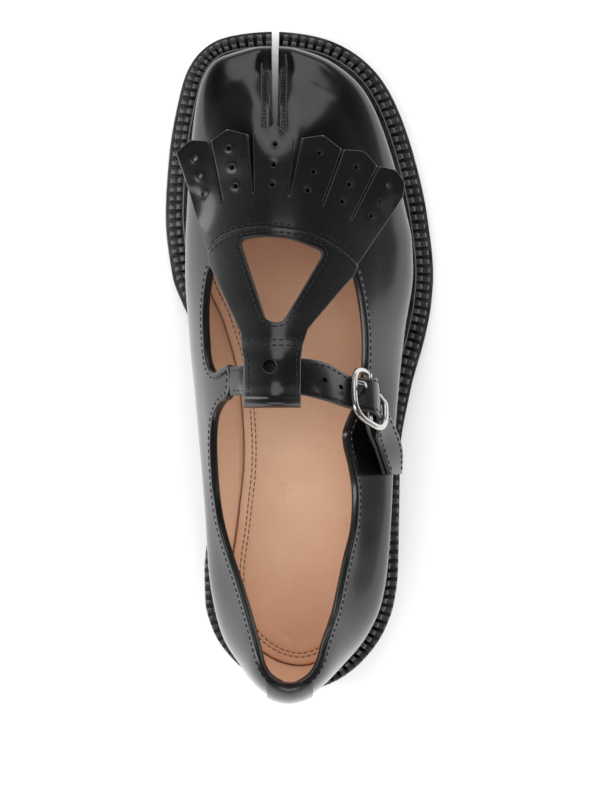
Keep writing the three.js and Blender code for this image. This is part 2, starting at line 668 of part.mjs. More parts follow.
function makeBuckleFrame() {
  const points = [];
  const steps = 28;
  const squareness = 0.62;     // below 1 the frame's corners fill out
  for (let i = 0; i < steps; i += 1) {
    const a = (2 * Math.PI * i) / steps;
    const run = Math.sign(Math.cos(a)) * Math.abs(Math.cos(a)) ** squareness;
    const width = Math.sign(Math.sin(a)) * Math.abs(Math.sin(a)) ** squareness;
    points.push(bucklePoint((run * buckle.runLength) / 2, (width * buckle.widthLength) / 2, 0));
  }
  const half = buckle.widthLength / 2;
  const bar = wire([bucklePoint(0, -half, 0), bucklePoint(0, half, 0)], buckleBar / 2, 8, false);
  return wire(points, buckle.wire / 2, 8, true).add(bar);
}

// The prong turns on the middle bar and rests on the frame's medial end
const prongSide = 1.5;         // from the frame's middle, along the strap's width
const prongWire = 1.6;
function makeProng() {
  const onStrap = buckle.wire / 2 + leather;
  const onFrame = buckle.wire / 2 + 1.2;
  const points = [
    bucklePoint(2.6, prongSide, onStrap + 1.9), bucklePoint(-1, prongSide, onStrap + 1.8),
    bucklePoint(-5, prongSide, onStrap + 1.2), bucklePoint(-buckle.runLength / 2 - 0.6, prongSide, onFrame),
  ];
  return wire(points, prongWire / 2, 8, false);
}

// Points round the sole's edge at one inset, heel, medial side, toe and back on the lateral side
function edgeLoop(perSide, inset, height) {
  const loop = [];
  const add = (i, side) => {
    const angle = i / perSide;
    const point = solePoint(angle, side, typeof inset === 'function' ? inset(angle, side) : inset);
    loop.push(new THREE.Vector3(point.x, point.y, height(point.y)));
  };
  for (let i = 0; i <= perSide; i += 1) add(i, 0);
  for (let i = perSide - 1; i > 0; i -= 1) add(i, 1);
  return loop;
}

const sameHeight = (offset) => (y) => seat(y) + offset;

// A plate along the sole's edge: rows of [inset, height above the seat], bottom to top
function edgeSolid(perSide, rows) {
  return ladderSolid(rows.map(([inset, offset]) => edgeLoop(perSide, inset, sameHeight(offset))));
}

function plateSolid(inset, top, bottom, perSide) {
  return ladderSolid([edgeLoop(perSide, inset, bottom), edgeLoop(perSide, inset, top)]);
}

// Triangles of a flat cap across a closed loop that starts at the heel, from side to side
function ladderFaces(start, count, up) {
  const faces = [];
  const other = (i) => start + ((count - i) % count);
  for (let i = 0; i < count / 2; i += 1) {
    const [a, b, c, d] = [start + i, start + i + 1, other(i + 1), other(i)];
    for (const face of [[a, b, c], [a, c, d]]) {
      if (new Set(face).size === 3) faces.push(...(up ? face : face.reverse()));
    }
  }
  return faces;
}

function ladderSolid(levels) {
  const count = levels[0].length;
  const geometry = loftGeometry(levels, false, false);
  const last = (levels.length - 1) * count;
  geometry.setIndex([
    ...geometry.index.array, ...ladderFaces(0, count, false), ...ladderFaces(last, count, true),
  ]);
  return solidOf(geometry);
}

// The welt ring with its bead: rows of [inset, height above the seat] round the ring's own section
function makeWelt() {
  const perSide = 34;
  const edge = sideStep + clearance;
  const rows = [
    [edge, -weltThickness], [edge, 0], [edge + beadSet, 0], [edge + beadSet + 0.3, beadRise],
    [edge + beadSet + beadWidth - 0.3, beadRise], [edge + beadSet + beadWidth, 0],
    [sideStep + weltBand, 0], [sideStep + weltBand, -weltThickness],
  ];
  const loops = rows.map(([inset, offset]) => edgeLoop(perSide, inset, sameHeight(offset)));
  return solidOf(loftGeometry([...loops, loops[0]], false, false)).subtract(cleftPrism(0, belowAll));
}

// Angles of the ribs' corners along one side, evenly spaced on the edge itself
function ribAngles(side) {
  const fine = 2400;
  const reach = [0];
  let before = solePoint(0, side, 0);
  for (let i = 1; i <= fine; i += 1) {
    const point = solePoint(i / fine, side, 0);
    reach.push(reach[i - 1] + point.distanceTo(before));
    before = point;
  }
  const total = reach[fine];
  const ribs = Math.round(total / ribPitch);
  const at = (distance) => {
    let i = 1;
    while (i < fine && reach[i] < distance) i += 1;
    return (i - 1 + (distance - reach[i - 1]) / (reach[i] - reach[i - 1])) / fine;
  };
  return { ribs, total, at };
}

// Ribs of the side: [height (share of the midsole), how far in from the sole's edge], foot to top
const ribProfile = [
  [0, ribEdge], [0.52, ribEdge + 0.2], [0.66, ribEdge + lowerStep - 0.5], [1, ribEdge + lowerStep],
];

function makeMidsole() {
  const sides = [ribAngles(0), ribAngles(1)];
  const ribs = Math.round((sides[0].ribs + sides[1].ribs) / 2);
  const foot = -weltThickness - clearance - midsoleThickness;
  const points = [];
  const posts = [];
  // A post is a corner of the plan: at a rib it has every row of the profile, at a gap only foot and top
  const addPost = (side, step, isRib) => {
    const { total, at } = sides[side];
    const angle = at((step / ribs) * total);
    const rows = isRib ? ribProfile : [[0, sideStep], [1, sideStep]];
    posts.push(rows.map(([height, inset]) => {
      const point = solePoint(angle, side, inset);
      points.push(new THREE.Vector3(point.x, point.y, seat(point.y) + foot + height * midsoleThickness));
      return points.length - 1;
    }));
  };
  const halfGap = (1 - ribShare) / 2;
  const corners = [[0, false]];
  // The last pitch stays plain, because the split at the toe cuts through it
  for (let i = 0; i < ribs - 1; i += 1) {
    corners.push([i + halfGap, false], [i + halfGap, true]);
    corners.push([i + 1 - halfGap, true], [i + 1 - halfGap, false]);
  }
  corners.push([ribs, false]);
  for (const [step, isRib] of corners) addPost(0, step, isRib);
  for (const [step, isRib] of corners.slice(1, -1).reverse()) addPost(1, step, isRib);
  const index = [];
  posts.forEach((post, i) => {
    const next = posts[(i + 1) % posts.length];
    if (post.length === next.length) {
      for (let k = 0; k < post.length - 1; k += 1) {
        index.push(post[k], next[k], next[k + 1], post[k], next[k + 1], post[k + 1]);
      }
    } else if (next.length > post.length) {
      index.push(post[0], next[0], next[1], post[0], next[1], next[2], post[0], next[2], next[3]);
      index.push(post[0], next[3], post[1]);
    } else {
      index.push(next[0], post[1], post[0], next[0], post[2], post[1], next[0], post[3], post[2]);
      index.push(next[0], next[1], post[3]);
    }
  });
  // The top and the foot: a cap over the gaps' posts, and one face for each rib beside it
  for (const up of [false, true]) {
    const ends = posts.map((post) => (up ? post[post.length - 1] : post[0]));
    const core = ends.filter((_, i) => posts[i].length === 2);
    for (const i of ladderFaces(0, core.length, up)) index.push(core[i]);
    posts.forEach((post, i) => {
      if (post.length === 2 || posts[i + 1].length === 2) return;
      const [a, b, c, d] = up ? [i - 1, i, i + 1, i + 2] : [i + 2, i + 1, i, i - 1];
      index.push(ends[a], ends[b], ends[c], ends[a], ends[c], ends[d]);
    });
  }
  const geometry = new THREE.BufferGeometry().setFromPoints(points);
  geometry.setIndex(index);
  return solidOf(geometry).subtract(cleftPrism(0, belowAll));
}

// Underside of the outsole's plate and the tread's own surface
const plateTop = (y) => seat(y) - weltThickness - midsoleThickness - 2 * clearance;
const plateBottom = (y) => plateTop(y) - plateThickness;
const treadSurface = (y) => seat(y) - ballSeat;

// Blocks round the edge, as prisms in plan: from one place to another along the edge
function edgeLugs(side, from, to, count, share, outerInset, depth) {
  const lugs = [];
  for (let i = 0; i < count; i += 1) {
    const start = THREE.MathUtils.lerp(from, to, i / count);
    const end = THREE.MathUtils.lerp(from, to, (i + share) / count);
    const corners = [
      solePoint(start, side, outerInset), solePoint(end, side, outerInset),
      solePoint(end, side, outerInset + depth), solePoint(start, side, outerInset + depth),
    ].map((point) => [point.x, point.y]);
    lugs.push(side === 0 ? corners.reverse() : corners);
  }
  return lugs;
}

function turned(points) {
  const area = points.reduce((sum, [x, y], i) => {
    const [nx, ny] = points[(i + 1) % points.length];
    return sum + x * ny - nx * y;
  }, 0);
  return area < 0 ? points.slice().reverse() : points;
}

function box(x, y, w, h) {
  return [[x - w / 2, y - h / 2], [x + w / 2, y - h / 2], [x + w / 2, y + h / 2], [x - w / 2, y + h / 2]];
}

function chevron(x, y, half, deep, bar) {
  return [
    [x - half, y - deep], [x, y], [x + half, y - deep], [x + half, y - deep - bar], [x, y - bar],
    [x - half, y - deep - bar],
  ];
}

const lugInset = 0.8;
const lugDepth = 13;
function makeOutsole() {
  const front = plateSolid(0, plateTop, plateBottom, 36);
  const tread = plateSolid(lugInset, (y) => plateBottom(y) + 0.2, treadSurface, 32);
  const outlines = [
    ...edgeLugs(0, 0.475, 0.955, 11, 0.7, lugInset - 0.5, lugDepth),
    ...edgeLugs(1, 0.475, 0.955, 11, 0.7, lugInset - 0.5, lugDepth),
    ...evenAngles(0.5, 0.89, 6).map((at) => chevron(0, heelBack + length * at, lugDepth * 1.3, 6, 8)),
  ];
  let lugs = uprightPrism(turned(outlines[0]), belowAll, skyline);
  for (const outline of outlines.slice(1)) lugs = lugs.add(uprightPrism(turned(outline), belowAll, skyline));
  return front.add(tread.intersect(lugs)).subtract(cleftPrism(0, belowAll));
}

const heelTop = (y) => plateBottom(y) - clearance;
function makeHeel() {
  const middle = (heelBack + heelBreast) / 2;
  const behindBreast = uprightPrism(
    box(0, middle, 2 * ballWidth, heelBreast - heelBack), belowAll, skyline,
  );
  const block = plateSolid(1.2, heelTop, () => lugHeight, 50).intersect(behindBreast);
  const foot = plateSolid(1.2, () => lugHeight + 0.2, () => 0, 50).intersect(behindBreast);
  const outlines = [
    ...edgeLugs(0, 0.02, 0.31, 6, 0.72, 0.7, lugDepth), ...edgeLugs(1, 0.02, 0.31, 6, 0.72, 0.7, lugDepth),
    box(0, 0, lugDepth * 1.4, 15), box(0, 19, lugDepth * 1.7, lugDepth),
  ];
  let lugs = uprightPrism(turned(outlines[0]), belowAll, skyline);
  for (const outline of outlines.slice(1)) lugs = lugs.add(uprightPrism(turned(outline), belowAll, skyline));
  return block.add(foot.intersect(lugs));
}

const finishes = {
  blackRubber: { color: 0x17171a, roughness: 0.6, metalness: 0 },
  blackCalf: { color: 0x101012, roughness: 0.25, metalness: 0 },
  tanLeather: { color: 0xd9b091, roughness: 0.5, metalness: 0 },
  silver: { color: 0xd8d6d0, roughness: 0.2, metalness: 1 },
};

const group = new THREE.Group();
function addPiece(name, solid, finish) {
  const mesh = new THREE.Mesh(geometryOf(solid), new THREE.MeshStandardMaterial(finishes[finish]));
  mesh.name = name;
  group.add(mesh);
}

addPiece('outsole', makeOutsole(), 'blackRubber');
addPiece('heel', makeHeel(), 'blackRubber');
addPiece('midsole', makeMidsole(), 'blackRubber');
addPiece('welt', makeWelt(), 'blackRubber');
addPiece('insole', makeInsole(), 'tanLeather');
addPiece('upper', makeUpper(), 'blackCalf');
addPiece('back_strip', makeBackStrip(), 'blackCalf');
addPiece('kiltie', makeKiltie(), 'blackCalf');
addPiece('y_strap', makeYStrap(), 'blackCalf');
addPiece('ankle_strap', makeAnkleStrap(), 'blackCalf');
addPiece('chape', makeChape(), 'blackCalf');
addPiece('buckle_frame', makeBuckleFrame(), 'silver');
addPiece('buckle_prong', makeProng(), 'silver');

export default group;
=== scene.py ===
# Tabi mary jane, right shoe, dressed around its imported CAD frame. The frame is in metres; the sizes
# below are in millimetres, +Y to the toe, +X to the lateral side, +Z up, and every mesh is scaled once.
import math

import bpy
import numpy as np
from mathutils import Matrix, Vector, geometry


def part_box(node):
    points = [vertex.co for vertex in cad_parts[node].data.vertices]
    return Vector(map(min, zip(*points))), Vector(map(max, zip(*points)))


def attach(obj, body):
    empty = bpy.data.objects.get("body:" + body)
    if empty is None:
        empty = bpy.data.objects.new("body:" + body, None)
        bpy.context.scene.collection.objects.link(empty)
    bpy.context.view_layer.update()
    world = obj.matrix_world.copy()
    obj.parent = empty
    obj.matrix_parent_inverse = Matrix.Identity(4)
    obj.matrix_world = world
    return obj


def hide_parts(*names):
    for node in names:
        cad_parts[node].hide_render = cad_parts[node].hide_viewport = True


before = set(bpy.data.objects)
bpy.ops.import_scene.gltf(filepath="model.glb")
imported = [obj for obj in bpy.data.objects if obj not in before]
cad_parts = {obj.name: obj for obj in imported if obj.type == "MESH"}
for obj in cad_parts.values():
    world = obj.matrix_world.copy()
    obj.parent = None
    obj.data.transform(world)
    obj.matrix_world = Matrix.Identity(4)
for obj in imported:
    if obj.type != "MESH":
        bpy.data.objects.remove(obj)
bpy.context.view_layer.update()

bl_info = {
    "name": "Split-toe mary jane",
    "version": (1, 0, 0),
    "blender": (4, 5, 0),
    "location": "3D View > Sidebar > Shoe",
    "description": "Builds a split-toe mary jane with a ribbed lug sole, piece by piece",
    "category": "Add Mesh",
}

MM = 0.001
SOLE_LOW, SOLE_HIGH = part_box("outsole")
HEEL_BACK = SOLE_LOW[1] / MM
LENGTH = (SOLE_HIGH[1] - SOLE_LOW[1]) / MM
BALL_WIDTH = 110.0             # sole across the ball
HEEL_SEAT = 38.0               # top of the welt under the heel
BALL_SEAT = 20.5               # and under the ball
TOE_SPRING = 8.0
INSTEP_RISE = 64.0
WALL = 2.2                     # upper, leather with its lining
CLEARANCE = 0.3                # between pieces that touch
WELT_THICKNESS = 3.0
MIDSOLE_THICKNESS = 10.0
PLATE_THICKNESS = 3.0
LUG_HEIGHT = 4.5
INSOLE_THICKNESS = 2.4
RIB_EDGE = 0.6                 # ribs stand back from the outsole's rim
LOWER_STEP = 3.4
UPPER_STEP = 3.2
SIDE_STEP = RIB_EDGE + LOWER_STEP + UPPER_STEP
CLEFT_X = -10.0
CLEFT_BACK = 188.0             # rear end of the toe's split
CLEFT_FRONT = 3.2
CLEFT_REAR = 2.2
HEEL_BREAST = 36.0
LEATHER = 1.6                  # kiltie and straps
OPENING_FLOOR = HEEL_SEAT + 0.19 * INSTEP_RISE
SKYLINE = HEEL_SEAT + 1.5 * INSTEP_RISE
BELOW_ALL = -20.0

# Along the sole: (at (share of length), medial, lateral (shares of the ball's width))
SOLE_OUTLINE = (
    (0, 0, 0), (0.047, -0.249, 0.238), (0.092, -0.324, 0.315), (0.136, -0.352, 0.351),
    (0.181, -0.355, 0.364), (0.27, -0.33, 0.368), (0.36, -0.311, 0.372), (0.45, -0.326, 0.409),
    (0.54, -0.384, 0.469), (0.585, -0.437, 0.49), (0.63, -0.477, 0.498), (0.72, -0.502, 0.476),
    (0.81, -0.489, 0.427), (0.897, -0.452, 0.349), (0.94, -0.42, 0.28), (0.985, -0.318, 0.121),
    (1, -0.1, -0.1),
)
# Height of the seat: (at, heel rise (share of heel less ball), spring (share of toe spring))
SEAT_LINE = (
    (0, 1, 0), (0.2, 1, 0), (0.27, 0.95, 0), (0.35, 0.72, 0), (0.45, 0.36, 0), (0.52, 0.13, 0),
    (0.58, 0.02, 0), (0.62, 0, 0), (0.7, 0, 0), (0.78, 0, 0.1), (0.88, 0, 0.42), (1, 0, 1),
)
# Foot of the upper, set in from the sole's edge: (at, medial, lateral (shares of the side step))
FEATHER_LINE = (
    (0, 1.38, 1.38), (0.1, 1.35, 1.36), (0.4, 1.34, 1.36), (0.5, 1.36, 1.4), (0.6, 1.45, 1.5),
    (0.7, 1.55, 1.55), (0.9, 1.52, 1.6), (1, 1.4, 1.4),
)
# Widest line of the upper: (at, medial, lateral (shares of the ball's width), height (share of instep))
BULGE_LINE = (
    (0, -0.04, -0.04, 0.31), (0.041, -0.197, 0.142, 0.29), (0.088, -0.275, 0.237, 0.26),
    (0.134, -0.307, 0.289, 0.22), (0.181, -0.325, 0.311, 0.2), (0.274, -0.339, 0.329, 0.16),
    (0.368, -0.356, 0.339, 0.17), (0.461, -0.375, 0.356, 0.21), (0.554, -0.4, 0.379, 0.23),
    (0.648, -0.418, 0.411, 0.23), (0.695, -0.418, 0.408, 0.22), (0.741, -0.413, 0.387, 0.21),
    (0.835, -0.399, 0.329, 0.2), (0.928, -0.369, 0.236, 0.18), (0.975, -0.313, 0.107, 0.17),
    (0.994, -0.19, -0.01, 0.16), (1, -0.095, -0.095, 0.16),
)
# Topline at the heel and shoulder of the vamp: the same columns
SHOULDER_LINE = (
    (0, -0.035, -0.035, 0.8), (0.03, -0.142, 0.07, 0.77), (0.077, -0.182, 0.118, 0.68),
    (0.118, -0.212, 0.142, 0.58), (0.16, -0.241, 0.167, 0.5), (0.2, -0.27, 0.192, 0.44),
    (0.285, -0.305, 0.208, 0.38), (0.368, -0.328, 0.206, 0.42), (0.451, -0.342, 0.222, 0.5),
    (0.534, -0.351, 0.256, 0.55), (0.617, -0.356, 0.276, 0.53), (0.7, -0.345, 0.285, 0.48),
    (0.784, -0.336, 0.262, 0.43), (0.867, -0.327, 0.214, 0.39), (0.929, -0.302, 0.152, 0.35),
    (0.975, -0.24, 0.05, 0.29), (1, -0.095, -0.095, 0.24),
)
# Crown: (at, across (share of the ball's width), height (share of the instep's rise))
CROWN_LINE = (
    (0, -0.035, 0.84), (0.2, -0.06, 0.84), (0.437, -0.095, 0.99), (0.534, -0.095, 0.98),
    (0.63, -0.093, 0.88), (0.728, -0.091, 0.76), (0.825, -0.091, 0.66), (0.92, -0.091, 0.57),
    (1, -0.091, 0.46),
)
BULGE_RANGE = (0.0075, 0.967)
SHOULDER_RANGE = (0.03, 0.927)
CROWN_RANGE = (0.099, 0.868)
# The valley that leads into the split, and how far the last runs down past its foot
VALLEY_DEPTH = 3.4
VALLEY_REACH = 5.0
VALLEY_RUN = 15.0
SKIRT = 5.0

# Outlines in plan: (along (share of length), across (share of the ball's width))
OPENING_OUTLINE = (
    (0.037, -0.06), (0.048, -0.106), (0.066, -0.133), (0.099, -0.157), (0.136, -0.185),
    (0.174, -0.216), (0.211, -0.248), (0.248, -0.278), (0.285, -0.298), (0.33, -0.309),
    (0.382, -0.312), (0.418, -0.3), (0.437, -0.273), (0.444, -0.251), (0.489, -0.248),
    (0.478, -0.303), (0.493, -0.326), (0.53, -0.337), (0.571, -0.34), (0.605, -0.332),
    (0.636, -0.314), (0.655, -0.27), (0.675, -0.2), (0.681, -0.124), (0.678, -0.035),
    (0.668, 0.053), (0.65, 0.13), (0.628, 0.19), (0.608, 0.207), (0.571, 0.225), (0.53, 0.235),
    (0.487, 0.234), (0.457, 0.227), (0.433, 0.208), (0.412, 0.185), (0.39, 0.167), (0.372, 0.17),
    (0.345, 0.186), (0.308, 0.199), (0.256, 0.194), (0.211, 0.168), (0.174, 0.148),
    (0.136, 0.126), (0.099, 0.092), (0.066, 0.066), (0.048, 0.036), (0.037, -0.01),
)
KILTIE_FRONT = (
    (0.803, -0.442), (0.821, -0.391), (0.819, -0.323), (0.819, -0.315), (0.835, -0.256),
    (0.826, -0.182), (0.829, -0.163), (0.84, -0.086), (0.821, -0.02), (0.82, 0.003),
    (0.826, 0.079), (0.806, 0.145), (0.805, 0.215), (0.802, 0.233), (0.783, 0.273),
    (0.778, 0.343), (0.759, 0.375), (0.739, 0.367), (0.661, 0.24),
)
SEAM_ARC = (
    (0.656, -0.321), (0.674, -0.272), (0.683, -0.212), (0.687, -0.124), (0.685, -0.035),
    (0.675, 0.053), (0.656, 0.141), (0.635, 0.2),
)
# Each slit: root (along, across), front (along, across), width at the front
SLITS = (
    (0.73, -0.272, 0.823, -0.318, 0.008), (0.741, -0.162, 0.834, -0.173, 0.018),
    (0.735, -0.039, 0.83, -0.009, 0.025), (0.721, 0.075, 0.812, 0.147, 0.008),
    (0.702, 0.177, 0.789, 0.278, 0.008),
)
# Each lobe's row of holes: front hole (along, across), rear hole (along, across)
HOLE_ROWS = (
    (0.793, -0.373, 0.741, -0.337), (0.807, -0.249, 0.751, -0.224), (0.81, -0.088, 0.751, -0.097),
    (0.799, 0.065, 0.743, 0.025), (0.78, 0.196, 0.728, 0.144), (0.755, 0.313, 0.709, 0.248),
)
HOLES_IN_ROW = 3
SLIT_ROOT = 0.5
KILTIE_LIFT = 1.2
STRAP_FRONT_ON_INSTEP = ((0.487, -0.244), (0.499, 0.005))
STRAP_REAR_ON_INSTEP = ((0.446, -0.244), (0.447, 0.002))
# Free edges of the straps: (along, across, rise (share of the instep's rise))
STRAP_FRONT = (
    (0.493, 0.091, 0.87), (0.475, 0.173, 0.78), (0.467, 0.265, 0.72), (0.447, 0.286, 0.545),
    (0.405, 0.336, 0.43), (0.369, 0.368, 0.33), (0.33, 0.37, 0.2),
)
STRAP_REAR = (
    (0.44, 0.091, 0.95), (0.429, 0.173, 0.85), (0.421, 0.265, 0.795), (0.4, 0.286, 0.62),
    (0.386, 0.277, 0.6), (0.367, 0.29, 0.51), (0.331, 0.324, 0.41),
)
CHAPE_FRONT = ((0.452, 0.235, 0.66), (0.403, 0.322, 0.38), (0.369, 0.347, 0.29), (0.329, 0.352, 0.17))
CHAPE_REAR = ((0.415, 0.235, 0.72), (0.388, 0.252, 0.57), (0.367, 0.274, 0.46), (0.331, 0.306, 0.37))
STRAP_LIFT = 0.2
LOOP_ROOM = 0.8
Y_MEDIAL = ((0.638, -0.315), (0.588, -0.261), (0.532, -0.198), (0.515, -0.196))
Y_LATERAL = ((0.619, 0.184), (0.598, 0.139), (0.539, 0.023), (0.515, 0.003))
CUT_OUT = (
    (0.671, -0.21), (0.675, -0.127), (0.672, -0.037), (0.653, 0.083), (0.546, -0.066),
    (0.55, -0.114),
)
CUT_OUT_ROUND = 3.0
TAB_SIDES = (-0.196, 0.003)
TAB_HOLE = (0.487, -0.105)
TAB_HOLE_WIDTH = 5.0
TAB_FRONT = 0.53
TAB_RISE = 0.5
TAB_FOLD = 0.441
BACK_STRIP_SIDES = (-0.115, 0.045)
BACK_STRIP_FRONT = 0.038
BUCKLE_MIDDLE = (0.441, 0.245, 0.73)
BUCKLE_RUN = (0.647, -0.405, -0.647)
BUCKLE_WIDTH = (0.0, 0.849, -0.528)
BUCKLE_RUN_LENGTH = 19.0
BUCKLE_WIDTH_LENGTH = 22.0
BUCKLE_WIRE = 2.4
PRONG_SIDE = 1.5
BUCKLE_DIP = 3.0               # of the corner that lies under the strap
BUCKLE_SQUARE = 0.62           # power of the frame's rounded rectangle, 1 for an ellipse
BAR_RADIUS = 1.0
PRONG_RADIUS = 0.8

# The last's grid: steps from each of its seven lines to the next, and half the width that is bridged
# over the middle of the heel
SURFACE_STEPS = (2, 10, 24, 24, 10, 2)
BRIDGE = 3.0
# The kiltie: lift of each lobe's tip, the width that lies close to the last, how it runs out beside it,
# and where that starts along the shoe
LOBE_LIFT = (0.6, 1.2, 0.6, 1.0, 0.8, 0.3)
KILTIE_CLOSE = (-23, 20)
KILTIE_TURN = 6.0
KILTIE_SLOPE = 0.33
KILTIE_LOOSE = (142, 166)
PUNCH = 1.7
PUNCH_RIM = 0.18
SLIT_MOUTHS = (2, 5, 8, 11, 14)
# The Y-strap's fold round the ankle strap, the part that runs back under it, and the roll above
LOOP_OVER = STRAP_LIFT + LEATHER + LOOP_ROOM
FOLD_OUTER = (LOOP_OVER + LEATHER + LOOP_ROOM + LEATHER) / 2
FOLD_INNER = FOLD_OUTER - LEATHER
FOLD_MIDDLE = LOOP_OVER - FOLD_INNER
FOLD_MEAN = FOLD_OUTER - LEATHER / 2
FOLD_Y = HEEL_BACK + TAB_FOLD * LENGTH
UNDER_RUN = 15.5
ROLL_LIFT = 1.7
ROLL_REACH = 3.2
TAB_STITCHES = (103.6, 101.6)  # two rows across the tab, along the shoe
# The ankle strap: how much wider it gets in the buckle, and its holes as rows of its mesh; the holes are
# blind, and their black leather floors are painted shade
STRAP_SPREAD = 2.4
STRAP_HOLES = (111, 122, 150)
STRAP_HOLE_RADIUS = 1.1
# The strips beside the toe's split: their run along the shoe, their stitches' run, and each one's name,
# side and width
STRIP_RUN = (176, 221.2)
STRIP_STITCHES = (176, 214)
STRIP_WIDTHS = (("medial", -1, 4.3), ("lateral", 1, 3.7))
# One thread: rings along it, their size and their lift (shares of its length and its radius)
RING_AT = np.array([0, 0.12, 0.5, 0.88, 1])
RING_SIZE = np.array([0.3, 0.85, 1, 0.85, 0.3])
RING_LIFT = np.array([-0.35, 0.2, 0.45, 0.2, -0.35])
THREAD_SIDES = 7
STITCH_SHARE = 0.74            # of the pitch, that thread shows
HEEL_REACH = 1.0               # ribs stand out that much more at the heel
# One rib along the edge: (place in its pitch, how open the groove is there)
RIB_WAVE = (
    (0.0, 1.0), (0.1, 1.0), (0.15, 0.93), (0.18, 0.55), (0.21, 0.16), (0.25, 0.03), (0.33, 0.0),
    (0.5, 0.0), (0.67, 0.0), (0.75, 0.03), (0.79, 0.16), (0.82, 0.55), (0.85, 0.93), (0.9, 1.0),
)
# The ribs' side: (share of the midsole's height, inset from the sole's edge)
RIB_PROFILE = (
    (0.0, 2.2), (0.03, 1.8), (0.08, 1.7), (0.36, 1.7), (0.42, 1.78), (0.47, 2.0), (0.52, 2.5), (0.55, 3.2),
    (0.565, 3.9), (0.57, 4.5), (0.6, 4.75), (0.66, 4.85), (0.84, 4.9), (0.91, 5.1), (0.96, 5.5), (1.0, 6.1),
    (1.0, 6.9),
)
# The welt's section: (inset from the ribs' foot, height above the seat)
WELT_SECTION = (
    (0.3, -3.0), (0.3, -0.2), (0.5, 0.0), (0.62, 0.28), (0.8, 0.42), (1.0, 0.42), (1.15, 0.26),
    (1.22, 0.12), (1.3, 0.26), (1.45, 0.42), (1.65, 0.42), (1.82, 0.28), (1.95, 0.0), (9.4, 0.0),
    (9.4, -3.0),
)
# The insole's pad: (inset from its rim, rise above the flat insole)
PAD_SECTION = (
    (0.0, -1.6), (0.05, -0.5), (0.3, -0.1), (0.9, 0.05), (2.0, 0.0), (2.9, -0.05), (3.2, -0.22),
    (3.5, -0.05), (4.2, -0.02), (4.6, -0.2), (4.9, 0.0), (6.5, 0.12), (9.0, 0.2),
)
INSOLE_STITCHES = (3.2, 4.7)
# The binding's section over the collar's rim and down its inside: (outward, upward)
BINDING_INSIDE = (
    (0.6, 0.68), (0.1, 0.52), (-0.15, 0.2), (-0.28, -0.4), (-0.28, -1.6), (-0.15, -2.3), (0.1, -2.45),
    (0.3, -2.0), (0.3, -0.6),
)
LUG_ROUND = 1.2
# Lugs round the edge: from and to (as angles along the sole), blocks on a side, share of their pitch,
# inset from the edge, depth inward
SOLE_LUGS = (0.475, 0.955, 11, 0.7, 0.3, 13)
HEEL_LUGS = (0.02, 0.31, 6, 0.72, 0.7, 13)
# Chevrons under the forefoot: from, to (shares of length) and how many; half width, depth, thickness
CHEVRONS_AT = (0.5, 0.89, 7)
CHEVRON = (17, 6, 8)
# Blocks inside the heel: place, width, depth
HEEL_BLOCKS = ((0, 18, 15), (19, 22, 13))

# The stage, in metres, apart from the lens
CAMERA_HEIGHT = 1.1
CAMERA_Y = 0.0812
CAMERA_LENS = 119.745
AIM = (0, 0.08, 0.04)
FLOOR_SIDE = 4.0
# Each lamp: name, place, width, height, power
LAMPS = (
    ("left_box", (-1.5, 0.1, 0.62), 0.5, 2.2, 13),
    ("right_box", (1.5, 0.05, 0.62), 0.4, 2.2, 1.0),
    ("toe_box", (0.1, 1.6, 0.72), 1.1, 0.4, 2.1),
    ("tab_box", (0.0, 1.3, 1.1), 0.8, 0.55, 2.3),
    ("heel_box", (0.0, -1.5, 0.6), 1.4, 0.4, 4),
)
ROOM_LIGHT = 1.35
# What shines back from the room: (how steeply a direction looks up, light from there)
SHINE = ((0.0, 0.36), (0.2, 0.24), (0.42, 0.1), (0.6, 0.015), (0.84, 0.02), (0.95, 0.08), (1.0, 0.1))
FLOAT = "NodeSocketFloat"      # kind of the node groups' sockets


# The form of the last, as in the CAD source

def turn(at):
    """Places near both ends are spread like an angle, so that the outlines close round."""
    return np.arccos(1 - 2 * np.asarray(at, float)) / math.pi


def place(angle):
    return (1 - np.cos(math.pi * np.asarray(angle, float))) / 2


def column(table, index, warp=None):
    """A smooth curve through one column of a table, without overshoot, read from 0 to 1."""
    places = np.array([row[0] for row in table], float)
    xs = warp(places) if warp else places
    ys = np.array([row[index] for row in table], float)
    slopes = np.diff(ys) / np.diff(xs)
    tangents = np.empty_like(ys)
    tangents[0], tangents[-1] = slopes[0], slopes[-1]
    before, after = slopes[:-1], slopes[1:]
    product = before * after
    total = np.where(np.abs(before + after) < 1e-12, 1, before + after)
    tangents[1:-1] = np.where(product <= 0, 0, 2 * product / total)

    def curve(where):
        x = np.clip(np.asarray(where, float), 0, 1)
        x = warp(x) if warp else x
        i = np.clip(np.searchsorted(xs, x, side="right") - 1, 0, len(xs) - 2)
        span = xs[i + 1] - xs[i]
        u = (x - xs[i]) / span
        bend = u * u * (3 - 2 * u)
        pull = tangents[i] * u * (1 - u) ** 2 - tangents[i + 1] * u * u * (1 - u)
        return ys[i] * (1 - bend) + ys[i + 1] * bend + span * pull

    return curve


sole_plan = [column(SOLE_OUTLINE, 1, turn), column(SOLE_OUTLINE, 2, turn)]
feather_plan = [column(FEATHER_LINE, 1), column(FEATHER_LINE, 2)]
bulge_plan = [column(BULGE_LINE, 1, turn), column(BULGE_LINE, 2, turn)]
shoulder_plan = [column(SHOULDER_LINE, 1, turn), column(SHOULDER_LINE, 2, turn)]
seat_rise = column(SEAT_LINE, 1)
seat_spring = column(SEAT_LINE, 2)
bulge_height = column(BULGE_LINE, 3, turn)
shoulder_height = column(SHOULDER_LINE, 3, turn)
crown_across = column(CROWN_LINE, 1)
crown_height = column(CROWN_LINE, 2)


def smoothstep(x, low, high):
    u = np.clip((np.asarray(x, float) - low) / (high - low), 0, 1)
    return u * u * (3 - 2 * u)


